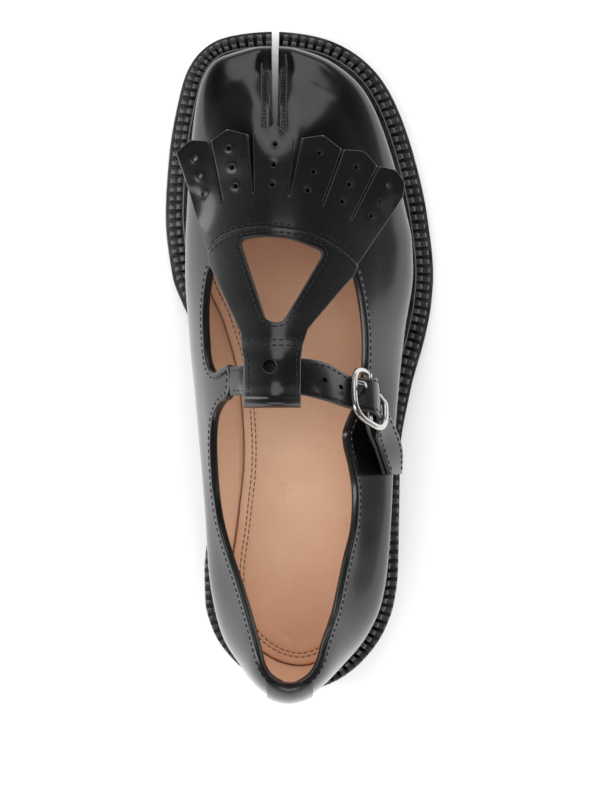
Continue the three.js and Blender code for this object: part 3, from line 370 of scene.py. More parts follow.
def unit(vectors):
    vectors = np.asarray(vectors, float)
    size = np.linalg.norm(vectors, axis=-1, keepdims=True)
    return vectors / np.maximum(size, 1e-9)


def seat(y):
    at = (np.asarray(y, float) - HEEL_BACK) / LENGTH
    return BALL_SEAT + (HEEL_SEAT - BALL_SEAT) * seat_rise(at) + TOE_SPRING * seat_spring(at)


def sole_edge(angle, side):
    at = place(angle)
    return np.stack([sole_plan[side](at) * BALL_WIDTH, HEEL_BACK + LENGTH * at], -1)


def sole_point(angle, side, inset):
    """Edge of the sole on one side (0 medial, 1 lateral), set in square to the edge."""
    angle = np.asarray(angle, float)
    step = 0.004
    run = unit(sole_edge(np.minimum(angle + step, 1), side) - sole_edge(np.maximum(angle - step, 0), side))
    sign = 1 if side == 0 else -1
    inward = np.stack([sign * run[..., 1], -sign * run[..., 0]], -1)
    inward[angle <= 0] = (0, 1)
    inward[angle >= 1] = (0, -1)
    return sole_edge(angle, side) + inward * np.broadcast_to(inset, angle.shape)[..., None]


def feather_point(angle, side):
    point = sole_point(angle, side, feather_plan[side](place(angle)) * SIDE_STEP)
    return np.concatenate([point, seat(point[..., 1])[..., None]], -1)


def line_point(at, limits, across, height):
    y = HEEL_BACK + LENGTH * (limits[0] + (limits[1] - limits[0]) * at)
    return np.stack([across * BALL_WIDTH, y, seat(y) + height * INSTEP_RISE], -1)


def sections(angles, steps):
    """Rows of points over the last, one row for each angle, from the medial foot over the crown."""
    at = place(angles)
    sides = []
    for side in (0, 1):
        sides.append([
            feather_point(angles, side),
            line_point(at, BULGE_RANGE, bulge_plan[side](at), bulge_height(at)),
            line_point(at, SHOULDER_RANGE, shoulder_plan[side](at), shoulder_height(at)),
        ])
    crown = line_point(at, CROWN_RANGE, crown_across(at), crown_height(at))
    knots = np.stack([*sides[0], crown, *sides[1][::-1]], 1)
    reach = np.maximum(np.linalg.norm(np.diff(knots, axis=1), axis=2, keepdims=True), 0.001)
    slope = np.diff(knots, axis=1) / reach
    tangents = np.zeros_like(knots)
    before, after = reach[:, :-1], reach[:, 1:]
    tangents[:, 1:-1] = (slope[:, :-1] * after + slope[:, 1:] * before) / (before + after)
    tangents[:, 0] = (0, 0, 1)
    tangents[:, -1] = (0, 0, -1)
    points = []
    for k, count in enumerate(steps):
        spread = np.linalg.norm(knots[:, k + 1] - knots[:, k], axis=1, keepdims=True)
        for i in range(0 if k == 0 else 1, count + 1):
            u = i / count
            bend = u * u * (3 - 2 * u)
            point = knots[:, k] * (1 - bend) + knots[:, k + 1] * bend
            point = point + tangents[:, k] * spread * u * (1 - u) ** 2
            points.append(point - tangents[:, k + 1] * spread * u * u * (1 - u))
    rows = np.stack(points, 1)
    forward = smoothstep(rows[..., 1], CLEFT_BACK - VALLEY_RUN, CLEFT_BACK + VALLEY_RUN / 2)
    off = (rows[..., 0] - CLEFT_X) / VALLEY_REACH
    rows[..., 2] -= VALLEY_DEPTH * forward * np.exp(-off * off)
    return rows


def plan(rows):
    """Rows of (along, across) as points in plan."""
    rows = np.asarray(rows, float)
    return np.stack([rows[..., 1] * BALL_WIDTH, HEEL_BACK + rows[..., 0] * LENGTH], -1)


def spot(rows):
    """Rows of (along, across, rise) as points, their heights above the seat."""
    rows = np.asarray(rows, float)
    y = HEEL_BACK + rows[..., 0] * LENGTH
    return np.stack([rows[..., 1] * BALL_WIDTH, y, seat(y) + rows[..., 2] * INSTEP_RISE], -1)


def surface_table():
    rows = sections(np.linspace(0.03, 0.97, 420), SURFACE_STEPS)
    first = SURFACE_STEPS[0] + SURFACE_STEPS[1] // 2
    return rows[:, first:rows.shape[1] - first]


SURFACE = surface_table()


HEEL_MIDDLE = SURFACE[0, SURFACE.shape[1] // 2, 0]


def surface_height(x, y):
    """Height of the last above places in plan; behind, where the sections meet, it is bridged."""
    x, y = np.broadcast_arrays(np.atleast_1d(np.asarray(x, float)), np.atleast_1d(np.asarray(y, float)))
    height = table_height(x, y)
    near = (np.abs(x - HEEL_MIDDLE) < BRIDGE) & (y < -8)
    if near.any():
        places = (HEEL_MIDDLE - BRIDGE, HEEL_MIDDLE + BRIDGE)
        ends = [table_height(np.full(near.sum(), place_x), y[near]) for place_x in places]
        u = (x[near] - HEEL_MIDDLE + BRIDGE) / (2 * BRIDGE)
        height[near] = ends[0] * (1 - u) + ends[1] * u
    return height


def table_height(x, y):
    ys = np.stack([np.interp(x, row[:, 0], row[:, 1]) for row in SURFACE])
    zs = np.stack([np.interp(x, row[:, 0], row[:, 2]) for row in SURFACE])
    i = np.clip((ys <= y).sum(0) - 1, 0, len(SURFACE) - 2)
    n = np.arange(len(x))
    u = (y - ys[i, n]) / (ys[i + 1, n] - ys[i, n])
    return zs[i, n] * (1 - u) + zs[i + 1, n] * u


def frame_over(height, xy):
    """Points above places in plan at a height given there, with the normals of that surface."""
    x, y = xy[:, 0], xy[:, 1]
    step = 1.2
    dx = (height(x + step, y) - height(x - step, y)) / (2 * step)
    dy = (height(x, y + step) - height(x, y - step)) / (2 * step)
    return np.stack([x, y, height(x, y)], 1), unit(np.stack([-dx, -dy, np.ones_like(dx)], 1))


def surface_frame(xy):
    return frame_over(surface_height, xy)


# Meshes

def loose_mesh(name, points, faces):
    """A mesh object from points in millimetres."""
    mesh = bpy.data.meshes.new(name)
    mesh.from_pydata((np.asarray(points, float) * MM).tolist(), [], [list(map(int, f)) for f in faces])
    tool = bpy.data.objects.new(name, mesh)
    bpy.context.collection.objects.link(tool)
    return tool


def new_piece(name, points, faces, material, smooth=40, attributes=None):
    """A finished piece of the shoe, with values stored at its points."""
    piece = loose_mesh(name, points, faces)
    for label, values in (attributes or {}).items():
        layer = piece.data.attributes.new(label, "FLOAT", "POINT")
        layer.data.foreach_set("value", np.asarray(values, np.float32))
    piece.data.validate()
    finish_piece(piece, material, smooth)
    return piece


def finish_piece(piece, material, smooth=40):
    """Shades a piece smooth up to an angle, gives it its material and lets it ride."""
    mesh = piece.data
    mesh.shade_smooth()
    mesh.set_sharp_from_angle(angle=math.radians(smooth))
    mesh.materials.clear()
    mesh.materials.append(material)
    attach(piece, "root")


def apply_modifiers(piece):
    graph = bpy.context.evaluated_depsgraph_get()
    mesh = bpy.data.meshes.new_from_object(piece.evaluated_get(graph))
    piece.modifiers.clear()
    old = piece.data
    piece.data = mesh
    bpy.data.meshes.remove(old)


def cut_with(piece, tools, operation="DIFFERENCE"):
    """Cuts or joins closed tools into a piece, and takes the tools away."""
    for tool in tools:
        modifier = piece.modifiers.new("cut", "BOOLEAN")
        modifier.object = tool
        modifier.operation = operation
        modifier.solver = "MANIFOLD"
    apply_modifiers(piece)
    for tool in tools:
        mesh = tool.data
        bpy.data.objects.remove(tool)
        bpy.data.meshes.remove(mesh)


def turning(loop):
    """Twice the area inside a loop in plan, below zero where it runs clockwise."""
    x, y = loop[:, 0], loop[:, 1]
    return np.sum(x * np.roll(y, -1) - np.roll(x, -1) * y)


def loft_faces(rows, count, closed=True):
    """Quads between rows of points, each row closed round or open."""
    r, i = np.meshgrid(np.arange(rows - 1), np.arange(count if closed else count - 1), indexing="ij")
    a = r * count + i
    b = r * count + (i + 1) % count
    return np.stack([a, b, b + count, a + count], -1).reshape(-1, 4).tolist()


def capped_faces(rows, count):
    """Quads between closed rows, with a flat face at both ends."""
    faces = loft_faces(rows, count)
    return faces + [list(range(count))[::-1], [(rows - 1) * count + i for i in range(count)]]


def weld(points, faces, tolerance=1e-4):
    """Joins points that coincide and drops the faces that this flattens."""
    keys = np.round(np.asarray(points) / tolerance).astype(np.int64)
    _, first, inverse = np.unique(keys, axis=0, return_index=True, return_inverse=True)
    inverse = inverse.reshape(-1)
    kept = []
    for face in faces:
        ring = []
        for corner in inverse[np.asarray(face)]:
            if not ring or ring[-1] != corner:
                ring.append(int(corner))
        if len(ring) > 1 and ring[0] == ring[-1]:
            ring.pop()
        if len(ring) > 2 and len(set(ring)) == len(ring):
            kept.append(ring)
    return np.asarray(points)[first], kept


def outward(points, faces):
    """The faces, turned over where they would face inward."""
    volume = 0.0
    for face in faces:
        a = points[face[0]]
        for k in range(1, len(face) - 1):
            volume += float(np.dot(a, np.cross(points[face[k]], points[face[k + 1]])))
    return faces if volume > 0 else [face[::-1] for face in faces]


def vertex_normals(points, faces):
    normals = np.zeros_like(points)
    for size in {len(face) for face in faces}:
        ring = np.array([face for face in faces if len(face) == size])
        flat = np.cross(points[ring[:, 1]] - points[ring[:, 0]], points[ring[:, -1]] - points[ring[:, 0]])
        for k in range(size):
            np.add.at(normals, ring[:, k], flat)
    return unit(normals)


def ladder_faces(start, count):
    """A cap across a closed loop that starts at one end, from side to side."""
    faces = []
    for i in range(count // 2):
        face = [start + i, start + i + 1, start + (count - i - 1) % count, start + (count - i) % count]
        ring = list(dict.fromkeys(face))
        if len(ring) > 2:
            faces.append(ring)
    return faces


def ladder_solid(levels):
    """Loops stacked bottom to top and capped at both ends."""
    count = len(levels[0])
    points = np.concatenate(levels)
    faces = loft_faces(len(levels), count)
    faces += [face[::-1] for face in ladder_faces(0, count)]
    faces += ladder_faces((len(levels) - 1) * count, count)
    points, faces = weld(points, faces)
    return points, outward(points, faces)


def prism_tool(outline, bottom, top, name="prism"):
    """An upright prism over a plan outline."""
    outline = np.asarray(outline, float)
    if turning(outline) < 0:
        outline = outline[::-1]
    count = len(outline)
    low = np.column_stack([outline, np.full(count, bottom)])
    high = np.column_stack([outline, np.full(count, top)])
    return loose_mesh(name, np.concatenate([low, high]), capped_faces(2, count))


def resample(points, spacing, closed=False):
    """Points evenly spaced along a polyline."""
    points = np.asarray(points, float)
    if closed:
        points = np.concatenate([points, points[:1]])
    reach = np.concatenate([[0], np.cumsum(np.linalg.norm(np.diff(points, axis=0), axis=1))])
    count = max(int(round(reach[-1] / spacing)), 2)
    where = np.linspace(0, reach[-1], count + 1)
    if closed:
        where = where[:-1]
    return np.stack([np.interp(where, reach, points[:, k]) for k in range(points.shape[1])], 1)


def finer(loop, spacing):
    """A closed loop with points added along its sides; every corner stays."""
    loop = np.asarray(loop, float)
    after = np.roll(loop, -1, axis=0)
    lengths = np.linalg.norm(after - loop, axis=1)
    parts = []
    for start, end, reach in zip(loop, after, lengths):
        if reach < 0.02:
            continue
        count = max(int(math.ceil(reach / spacing - 0.3)), 1)
        steps = np.arange(count)[:, None] / count
        parts.append(start * (1 - steps) + end * steps)
    return np.concatenate(parts)


def smooth_curve(points, spacing, closed=False):
    """A centripetal curve through points, evenly resampled."""
    points = np.asarray(points, float)
    count = len(points)
    fine = []
    spans = count if closed else count - 1
    for i in range(spans):
        p1, p2 = points[i], points[(i + 1) % count]
        p0 = points[i - 1] if closed or i > 0 else 2 * p1 - p2
        last = closed or i < count - 2
        p3 = points[(i + 2) % count] if last else 2 * p2 - p1
        fine.append(curve_span(p0, p1, p2, p3, np.linspace(0, 1, 24, endpoint=False)))
    if not closed:
        fine.append(points[-1:])
    return resample(np.concatenate(fine), spacing, closed)


def curve_span(p0, p1, p2, p3, u):
    """One span of a centripetal curve, from p1 to p2."""
    gaps = [max(float(np.sum((b - a) ** 2)) ** 0.25, 1e-4) for a, b in ((p0, p1), (p1, p2), (p2, p3))]
    g0, g1, g2 = gaps
    t1 = ((p1 - p0) / g0 - (p2 - p0) / (g0 + g1) + (p2 - p1) / g1) * g1
    t2 = ((p2 - p1) / g1 - (p3 - p1) / (g1 + g2) + (p3 - p2) / g2) * g1
    u = u[:, None]
    square, cube = u * u, u * u * u
    near = 2 * cube - 3 * square + 1
    return near * p1 + (cube - 2 * square + u) * t1 + (3 * square - 2 * cube) * p2 + (cube - square) * t2


def rounded_corners(points, radius):
    """A closed outline whose corners are rounded."""
    points = np.asarray(points, float)
    result = []
    for i, corner in enumerate(points):
        before = points[i - 1] - corner
        after = points[(i + 1) % len(points)] - corner
        reach = min(radius, 0.45 * np.linalg.norm(before), 0.45 * np.linalg.norm(after))
        start = corner + unit(before) * reach
        end = corner + unit(after) * reach
        for u in np.linspace(0, 1, 7):
            a = start * (1 - u) + corner * u
            b = corner * (1 - u) + end * u
            result.append(a * (1 - u) + b * u)
    return np.array(result)


def inside(xy, outline):
    """Which points in plan lie inside a closed outline."""
    result = np.zeros(len(xy), bool)
    before = outline[-1]
    for point in outline:
        crosses = (point[1] > xy[:, 1]) != (before[1] > xy[:, 1])
        rise = before[1] - point[1]
        if abs(rise) > 1e-12:
            x = point[0] + (xy[:, 1] - point[1]) * (before[0] - point[0]) / rise
            result ^= crosses & (xy[:, 0] < x)
        before = point
    return result


def distance_to(xy, loops):
    """Distance of points in plan from the nearest of some closed loops."""
    best = np.full(len(xy), 1e9)
    for loop in loops:
        for a, b in zip(loop, np.roll(loop, -1, axis=0)):
            run = b - a
            u = np.clip(((xy - a) @ run) / max(run @ run, 1e-12), 0, 1)
            best = np.minimum(best, np.linalg.norm(xy - a - u[:, None] * run, axis=1))
    return best


def inset_loop(loop, distance):
    """A closed loop moved to its left by a distance."""
    run = unit(np.roll(loop, -1, axis=0) - np.roll(loop, 1, axis=0))
    return loop + distance * np.stack([-run[:, 1], run[:, 0]], 1)


def flat_sheet(outline, holes, spacing=1.3, edge=0.8, rings=(0.14, 0.34, 0.6)):
    """Triangles over an outline with holes, in plan: points, triangles, distance from the edge."""
    loops = [finer(outline, edge)]
    loops += [finer(hole, edge) for hole in holes]
    for k, loop in enumerate(loops):
        if (turning(loop) > 0) != (k == 0):
            loops[k] = loop[::-1]
    points = [np.concatenate(loops)]
    for ring in rings:
        near = np.concatenate([inset_loop(loop, ring) for loop in loops])
        points.append(near[distance_to(near, loops) > 0.93 * ring])
    low, high = loops[0].min(0), loops[0].max(0)
    xs = np.arange(low[0], high[0], spacing)
    ys = np.arange(low[1], high[1], spacing * 0.866)
    gx, gy = np.meshgrid(xs, ys)
    gx = gx + (np.arange(len(ys)) % 2)[:, None] * spacing / 2
    grid = np.stack([gx.ravel(), gy.ravel()], 1)
    grid = grid[inside(grid, loops[0])]
    points.append(grid[distance_to(grid, loops) > rings[-1] + 0.45 * spacing])
    everything = np.concatenate(points)
    kept = inside(everything, loops[0])
    kept[:sum(len(loop) for loop in loops)] = True
    everything = everything[kept]
    edges = []
    start = 0
    for loop in loops:
        edges += [(start + i, start + (i + 1) % len(loop)) for i in range(len(loop))]
        start += len(loop)
    result = geometry.delaunay_2d_cdt([Vector(p) for p in everything], edges, [], 0, 1e-5)
    xy = np.array([(p.x, p.y) for p in result[0]])
    triangles = np.array([f for f in result[2] if len(f) == 3])
    middle = xy[triangles].mean(1)
    keep = inside(middle, loops[0])
    for loop in loops[1:]:
        keep &= ~inside(middle, loop)
    triangles = triangles[keep]
    used = np.unique(triangles)
    fresh = np.full(len(xy), -1)
    fresh[used] = np.arange(len(used))
    xy = xy[used]
    return xy, fresh[triangles], distance_to(xy, loops)


def border_edges(triangles):
    """The edges that only one triangle has, in that triangle's direction."""
    edges = np.concatenate([triangles[:, [0, 1]], triangles[:, [1, 2]], triangles[:, [2, 0]]])
    known = {(int(a), int(b)) for a, b in edges}
    return [(a, b) for a, b in known if (b, a) not in known]


def leather_sheet(name, outline, holes, low_at, thickness, material, slot, rounding=0.5, **options):
    """A piece of leather cut to a plan outline: low_at(xy) gives its lower face and its normals."""
    xy, triangles, edge = flat_sheet(outline, holes, **options)
    turned = xy[triangles[:, 1]] - xy[triangles[:, 0]], xy[triangles[:, 2]] - xy[triangles[:, 0]]
    clockwise = turned[0][:, 0] * turned[1][:, 1] - turned[0][:, 1] * turned[1][:, 0] < 0
    triangles[clockwise] = triangles[clockwise][:, ::-1]
    low, normal, extra = low_at(xy)
    u = np.clip(edge / rounding, 0, 1)
    drop = rounding * (1 - np.sqrt(np.maximum(1 - (1 - u) ** 2, 0)))
    high = low + normal * (thickness + extra - drop)[:, None]
    count = len(xy)
    faces = triangles.tolist() + (triangles[:, ::-1] + count).tolist()
    for a, b in border_edges(triangles):
        faces.append([b, a, a + count, b + count])
    edge_mask = np.concatenate([np.clip(1 - edge / 0.32, 0, 1), np.ones(count)])
    return new_piece(name, np.concatenate([high, low]), faces, material, 55, {"edge": edge_mask})


def last_mesh(offset, across_steps=(5, 14, 24, 24, 14, 5), along_steps=170, angles=None):
    """The closed last, grown outward by a distance or by a function of its points."""
    angles = np.linspace(0, 1, along_steps + 1) if angles is None else angles
    rows = sections(angles, across_steps)
    foot = rows[:, :1] - (0, 0, SKIRT)
    end = rows[:, -1:] - (0, 0, SKIRT)
    rows = np.concatenate([foot, rows, end], 1)
    count = rows.shape[1]
    points = rows.reshape(-1, 3)
    faces = loft_faces(len(rows), count)
    if angles[0] > 0:
        faces.append(list(range(count))[::-1])
    if angles[-1] < 1:
        faces.append([(len(rows) - 1) * count + i for i in range(count)])
    points, faces = weld(points, faces)
    faces = outward(points, faces)
    normals = vertex_normals(points, faces)
    grow = offset(points) if callable(offset) else offset
    return points + normals * np.broadcast_to(grow, len(points))[:, None], faces


def cleft_tool(grow, bottom=BELOW_ALL):
    """The slot between the toes, a wedge in plan with a round rear end."""
    rear = CLEFT_REAR / 2 + grow
    front = CLEFT_FRONT / 2 + grow
    ahead = HEEL_BACK + LENGTH + 10
    turns = np.pi + np.linspace(0, np.pi, 13)
    back = np.stack([CLEFT_X + rear * np.cos(turns), CLEFT_BACK + rear * np.sin(turns)], 1)
    outline = np.concatenate([[[CLEFT_X - front, ahead]], back, [[CLEFT_X + front, ahead]]])
    return prism_tool(outline, bottom, SKYLINE, "cleft")


def below_seat_tool(rise):
    """Everything below the seat, raised by a distance."""
    ys = np.linspace(HEEL_BACK - 20, HEEL_BACK + LENGTH + 20, 120)
    top = np.stack([ys, seat(ys) + rise], 1)
    outline = np.concatenate([[[ys[0], -20]], [[ys[-1], -20]], top[::-1]])
    count = len(outline)
    sides = [np.column_stack([np.full(count, x), outline]) for x in (-BALL_WIDTH, BALL_WIDTH)]
    points = np.concatenate(sides)
    return loose_mesh("below", points, outward(points, capped_faces(2, count)))


def opening_curve(spacing=1.0):
    return smooth_curve(plan(OPENING_OUTLINE), spacing, closed=True)


def opening_tool(grow=0.0):
    curve = opening_curve()
    outline = inset_loop(curve, grow if turning(curve) < 0 else -grow)
    return prism_tool(outline, OPENING_FLOOR, SKYLINE, "opening")


def shell(name, outer, inner, foot, material):
    """One wall of the upper between two distances from the last, open at collar and foot."""
    piece = loose_mesh(name, *last_mesh(outer))
    cut_with(piece, [cleft_tool(-outer)])
    core = loose_mesh(name + "_core", *last_mesh(inner))
    cut_with(core, [cleft_tool(-inner)])
    cut_with(piece, [core, opening_tool(), below_seat_tool(foot)])
    finish_piece(piece, material, 32)
    return piece


# Leather pieces over the last

def seam_arc(shift=0.0, spacing=1.0):
    """The seam between kiltie and Y-strap, moved forward by a share of the length."""
    return smooth_curve(plan([(at + shift, across) for at, across in SEAM_ARC]), spacing)


def kiltie_outline():
    front = [np.array(row) for row in KILTIE_FRONT]
    rows = []
    for i, row in enumerate(front):
        rows.append(row)
        if i in SLIT_MOUTHS:
            slit = SLITS[SLIT_MOUTHS.index(i)]
            half = SLIT_ROOT / 2 / BALL_WIDTH
            rows.append(np.array([slit[0], slit[1] - half]))
            rows.append(np.array([slit[0], slit[1] + half]))
            rows.append(row + (0, slit[4]))
    points = plan(rows)
    keep = np.linalg.norm(points - np.roll(points, 1, axis=0), axis=1) > 0.12
    return np.concatenate([points[keep], seam_arc(CLEARANCE / LENGTH)[::-1]])


def kiltie_holes():
    centres = []
    for front_at, front_across, rear_at, rear_across in HOLE_ROWS:
        ends = plan([(front_at, front_across), (rear_at, rear_across)])
        centres += [ends[0] * (1 - u) + ends[1] * u for u in np.linspace(0, 1, HOLES_IN_ROW)]
    return np.array(centres)


def round_outline(centre, radius, sides=24):
    a = np.linspace(0, 2 * np.pi, sides, endpoint=False)
    return np.stack([centre[0] + radius * np.cos(a), centre[1] + radius * np.sin(a)], 1)


def lobe_of(xy):
    """Which lobe of the fringe each place belongs to, counted from the medial side."""
    number = np.zeros(len(xy), int)
    for root_at, root_across, front_at, front_across, _ in SLITS:
        root, front = plan([(root_at, root_across), (front_at, front_across)])
        run = front - root
        side = run[0] * (xy[:, 1] - root[1]) - run[1] * (xy[:, 0] - root[0])
        number += side < 0
    return number


def kiltie_height(x, y):
    """The kiltie follows the last over its middle and runs out nearly straight at the sides."""
    low, high = KILTIE_CLOSE
    past = np.maximum(np.maximum(low - x, x - high), 0)
    followed = KILTIE_TURN * (1 - np.exp(-past / KILTIE_TURN))
    held = np.clip(x, low, high) + np.where(x > high, followed, -followed)
    free = surface_height(held, y) - KILTIE_SLOPE * (past - followed)
    loose = smoothstep(y, *KILTIE_LOOSE)
    return surface_height(x, y) * (1 - loose) + free * loose


def kiltie_low(xy):
    """The kiltie lies close at its seam and lifts towards the lobes' tips and the sides."""
    number = lobe_of(xy)

    def height(x, y):
        at = (y - HEEL_BACK) / LENGTH
        forward = smoothstep(at, 0.68, 0.8)
        aside = smoothstep(np.abs(x - CLEFT_X) / BALL_WIDTH, 0.2, 0.36)
        low = CLEARANCE + forward * (KILTIE_LIFT + 1.2 * aside)
        lobes = smoothstep(at, 0.75, 0.84) * np.array(LOBE_LIFT)[number]
        return kiltie_height(x, y) + low + lobes

    holes = kiltie_holes()
    away = np.min(np.linalg.norm(xy[:, None] - holes[None], axis=2), axis=1) - PUNCH / 2
    rims = PUNCH_RIM * np.exp(-((away - 0.4) / 0.3) ** 2)
    return *frame_over(height, xy), rims


def y_strap_low(xs):
    """The strap's lower face: over the instep, raised over the ankle strap, folded round it and back."""
    x, s = xs[:, 0], xs[:, 1]
    y = np.maximum(s, FOLD_Y)
    back = np.maximum(FOLD_Y - s, 0)
    under = np.maximum(back - math.pi * FOLD_MEAN, 0)
    angle = np.minimum(back / FOLD_MEAN, math.pi)
    y = y + under
    base, normal = surface_frame(np.stack([x, y], 1))
    at = (y - HEEL_BACK) / LENGTH
    raised = 1 - smoothstep(at, TAB_RISE - 0.006, TAB_FRONT - 0.002)
    low = CLEARANCE + (LOOP_OVER - CLEARANCE) * raised
    folded = back > 0
    normal = unit(normal * (1 - raised[:, None]) + np.array([0, 0, 1.0]) * raised[:, None])
    round_normal = np.stack([np.zeros_like(x), -np.sin(angle), np.cos(angle)], 1)
    points = base + normal * low[:, None]
    centre = base.copy()
    centre[:, 2] += FOLD_MIDDLE
    turned = centre + round_normal * FOLD_INNER
    points[folded] = turned[folded]
    normal[folded] = round_normal[folded]
    roll = ROLL_LIFT * np.exp(-((s - FOLD_Y - 0.8) / ROLL_REACH) ** 2)
    points = points + normal * roll[:, None]
    return points, normal, np.zeros(len(x))


def y_strap_outline():
    end = FOLD_Y - math.pi * FOLD_MEAN - UNDER_RUN
    tail = np.array([[TAB_SIDES[1] * BALL_WIDTH, end], [TAB_SIDES[0] * BALL_WIDTH, end]])
    return np.concatenate([seam_arc(), plan(Y_LATERAL), tail, plan(Y_MEDIAL)[::-1]])


# Straps and threads

def edge_pair(fronts, rears, per_span):
    """Rows of front and rear edge points that belong together."""
    rows = []
    for points in (fronts, rears):
        points = np.asarray(points, float)
        line = []
        for i in range(len(points) - 1):
            p0 = points[i - 1] if i else 2 * points[0] - points[1]
            p3 = points[i + 2] if i < len(points) - 2 else 2 * points[-1] - points[-2]
            steps = np.linspace(0, 1, per_span, endpoint=False)
            line.append(curve_span(p0, points[i], points[i + 1], p3, steps))
        line.append(points[-1:])
        rows.append(np.concatenate(line))
    return rows


def band_axes(front, rear):
    run = unit(np.gradient(front, axis=0) + np.gradient(rear, axis=0))
    up = unit(np.cross(run, front - rear))
    return up, unit(front - rear)


def band(name, front, rear, thickness, material, crown=0.25, rounding=0.5):
    """A strap between two edges, its section a rounded and slightly crowned rectangle."""
    up, wide = band_axes(front, rear)
    r, t = rounding, thickness
    section = [(0, 0, r), (0, 0.29 * r, 0.29 * r), (0, r, 0)]
    section += [(f, 0, -crown * 4 * f * (1 - f)) for f in (0.14, 0.26, 0.38, 0.5, 0.62, 0.74, 0.86)]
    section += [(1, -r, 0), (1, -0.29 * r, 0.29 * r), (1, 0, r), (1, 0, t - r)]
    section += [(1, -0.29 * r, t - 0.29 * r), (1, -r, t), (0.5, 0, t), (0, r, t)]
    section += [(0, 0.29 * r, t - 0.29 * r), (0, 0, t - r)]
    rows = np.stack([
        rear + (front - rear) * anchor + wide * offset - up * depth for anchor, offset, depth in section
    ], 1)
    faces = capped_faces(len(rows), len(section))
    points = rows.reshape(-1, 3)
    edge = np.tile([1.0 if depth > 0.1 * r else 0.0 for _, _, depth in section], len(rows))
    return new_piece(name, points, outward(points, faces), material, 50, {"edge": edge})


def stitch_meshes(points, normals, pitch, share, radius):
    """Threads along a line: points and faces of short capsules that dive in at both ends."""
    reach = np.concatenate([[0], np.cumsum(np.linalg.norm(np.diff(points, axis=0), axis=1))])
    count = max(int(reach[-1] / pitch), 1)
    pitch = reach[-1] / count
    where = (np.arange(count)[:, None] + (1 - share) / 2 + share * RING_AT) * pitch
    flat = where.ravel()
    at = np.stack([np.interp(flat, reach, points[:, k]) for k in range(3)], 1)
    up = unit(np.stack([np.interp(flat, reach, normals[:, k]) for k in range(3)], 1))
    ahead = np.stack([np.interp(flat + 0.2, reach, points[:, k]) for k in range(3)], 1)
    behind = np.stack([np.interp(flat - 0.2, reach, points[:, k]) for k in range(3)], 1)
    run = unit(ahead - behind)
    aside = unit(np.cross(run, up))
    up = np.cross(aside, run)
    size = np.tile(RING_SIZE, count) * radius
    centre = at + up * (np.tile(RING_LIFT, count) * radius)[:, None]
    turns = np.linspace(0, 2 * np.pi, THREAD_SIDES, endpoint=False)
    rings = centre[:, None] + size[:, None, None] * (
        up[:, None] * np.cos(turns)[None, :, None] + aside[:, None] * np.sin(turns)[None, :, None])
    vertices = rings.reshape(-1, 3)
    faces = []
    block = len(RING_AT) * THREAD_SIDES
    single = capped_faces(len(RING_AT), THREAD_SIDES)
    for k in range(count):
        faces += [[i + k * block for i in face] for face in single]
    return vertices, faces


def sew(name, lines, material, pitch=2.5, share=0.74, radius=0.26):
    """One mesh of all the threads along some lines of points and normals."""
    points, faces, start = [], [], 0
    for line, normals in lines:
        vertices, rings = stitch_meshes(line, normals, pitch, share, radius)
        points.append(vertices)
        faces += [[i + start for i in face] for face in rings]
        start += len(vertices)
    return new_piece(name, np.concatenate(points), faces, material, 60)


def sweep(name, path, sideways, upward, section, closed, material, smooth=50):
    """A profile of (sideways, upward) points carried along a path."""
    rows = path[:, None] + sideways[:, None] * section[None, :, :1] + upward[:, None] * section[None, :, 1:]
    count = len(section)
    if closed:
        rows = np.concatenate([rows, rows[:1]])
    faces = loft_faces(len(rows), count) if closed else capped_faces(len(rows), count)
    points, faces = weld(rows.reshape(-1, 3), faces)
    return new_piece(name, points, outward(points, faces), material, smooth)


# The sole

def edge_loop(angles, inset, height):
    """Points round the sole's edge: heel, medial side, toe, and back on the lateral side."""
    sides = []
    for side in (0, 1):
        value = inset(angles, side) if callable(inset) else inset
        point = sole_point(angles, side, value)
        sides.append(np.column_stack([point, height(point[:, 1])]))
    return np.concatenate([sides[0], sides[1][-2:0:-1]])


def even_angles(steps):
    """Angles that are spaced evenly along the sole's own edge, the same for both sides."""
    fine = np.linspace(0, 1, 3000)
    reach = np.zeros(len(fine))
    for side in (0, 1):
        gaps = np.linalg.norm(np.diff(sole_edge(fine, side), axis=0), axis=1)
        reach[1:] += np.cumsum(gaps) / 2
    return np.interp(np.linspace(0, reach[-1], steps + 1), reach, fine), reach[-1]


def above_seat(offset):
    return lambda y: seat(y) + offset


def plate_top(y):
    return seat(y) - WELT_THICKNESS - MIDSOLE_THICKNESS - 2 * CLEARANCE


def plate_bottom(y):
    return plate_top(y) - PLATE_THICKNESS


def tread_surface(y):
    return seat(y) - BALL_SEAT


def outsole_inset(angles):
    """The outsole stands out beyond the ribs in front, and lies back under them at the heel."""
    return 0.4 * (1 - smoothstep(place(angles), 0.16, 0.5))


def midsole_mesh(pitch):
    _, total = even_angles(10)
    ribs = int(round(total / pitch))
    waves = np.array([w for w, _ in RIB_WAVE])
    opened = np.array([g for _, g in RIB_WAVE])
    steps = (np.arange(ribs)[:, None] + waves).ravel()
    gap = np.tile(opened, ribs)
    fine, _ = even_angles(6000)
    angles = np.interp(np.append(steps, ribs) / ribs, np.linspace(0, 1, 6001), fine)
    gap = np.append(gap, 1.0)
    foot = -WELT_THICKNESS - CLEARANCE - MIDSOLE_THICKNESS
    levels = []
    for height, inset in RIB_PROFILE:
        edge = inset - HEEL_REACH * (1 - smoothstep(place(angles), 0.18, 0.55))
        value = edge + (SIDE_STEP + 0.1 - edge) * gap
        levels.append(edge_loop(angles, value, above_seat(foot + height * MIDSOLE_THICKNESS)))
    core = edge_loop(angles, SIDE_STEP + 0.4, above_seat(foot + MIDSOLE_THICKNESS))
    return ladder_solid([*levels, core])


def level(height):
    return lambda y: height + 0 * y


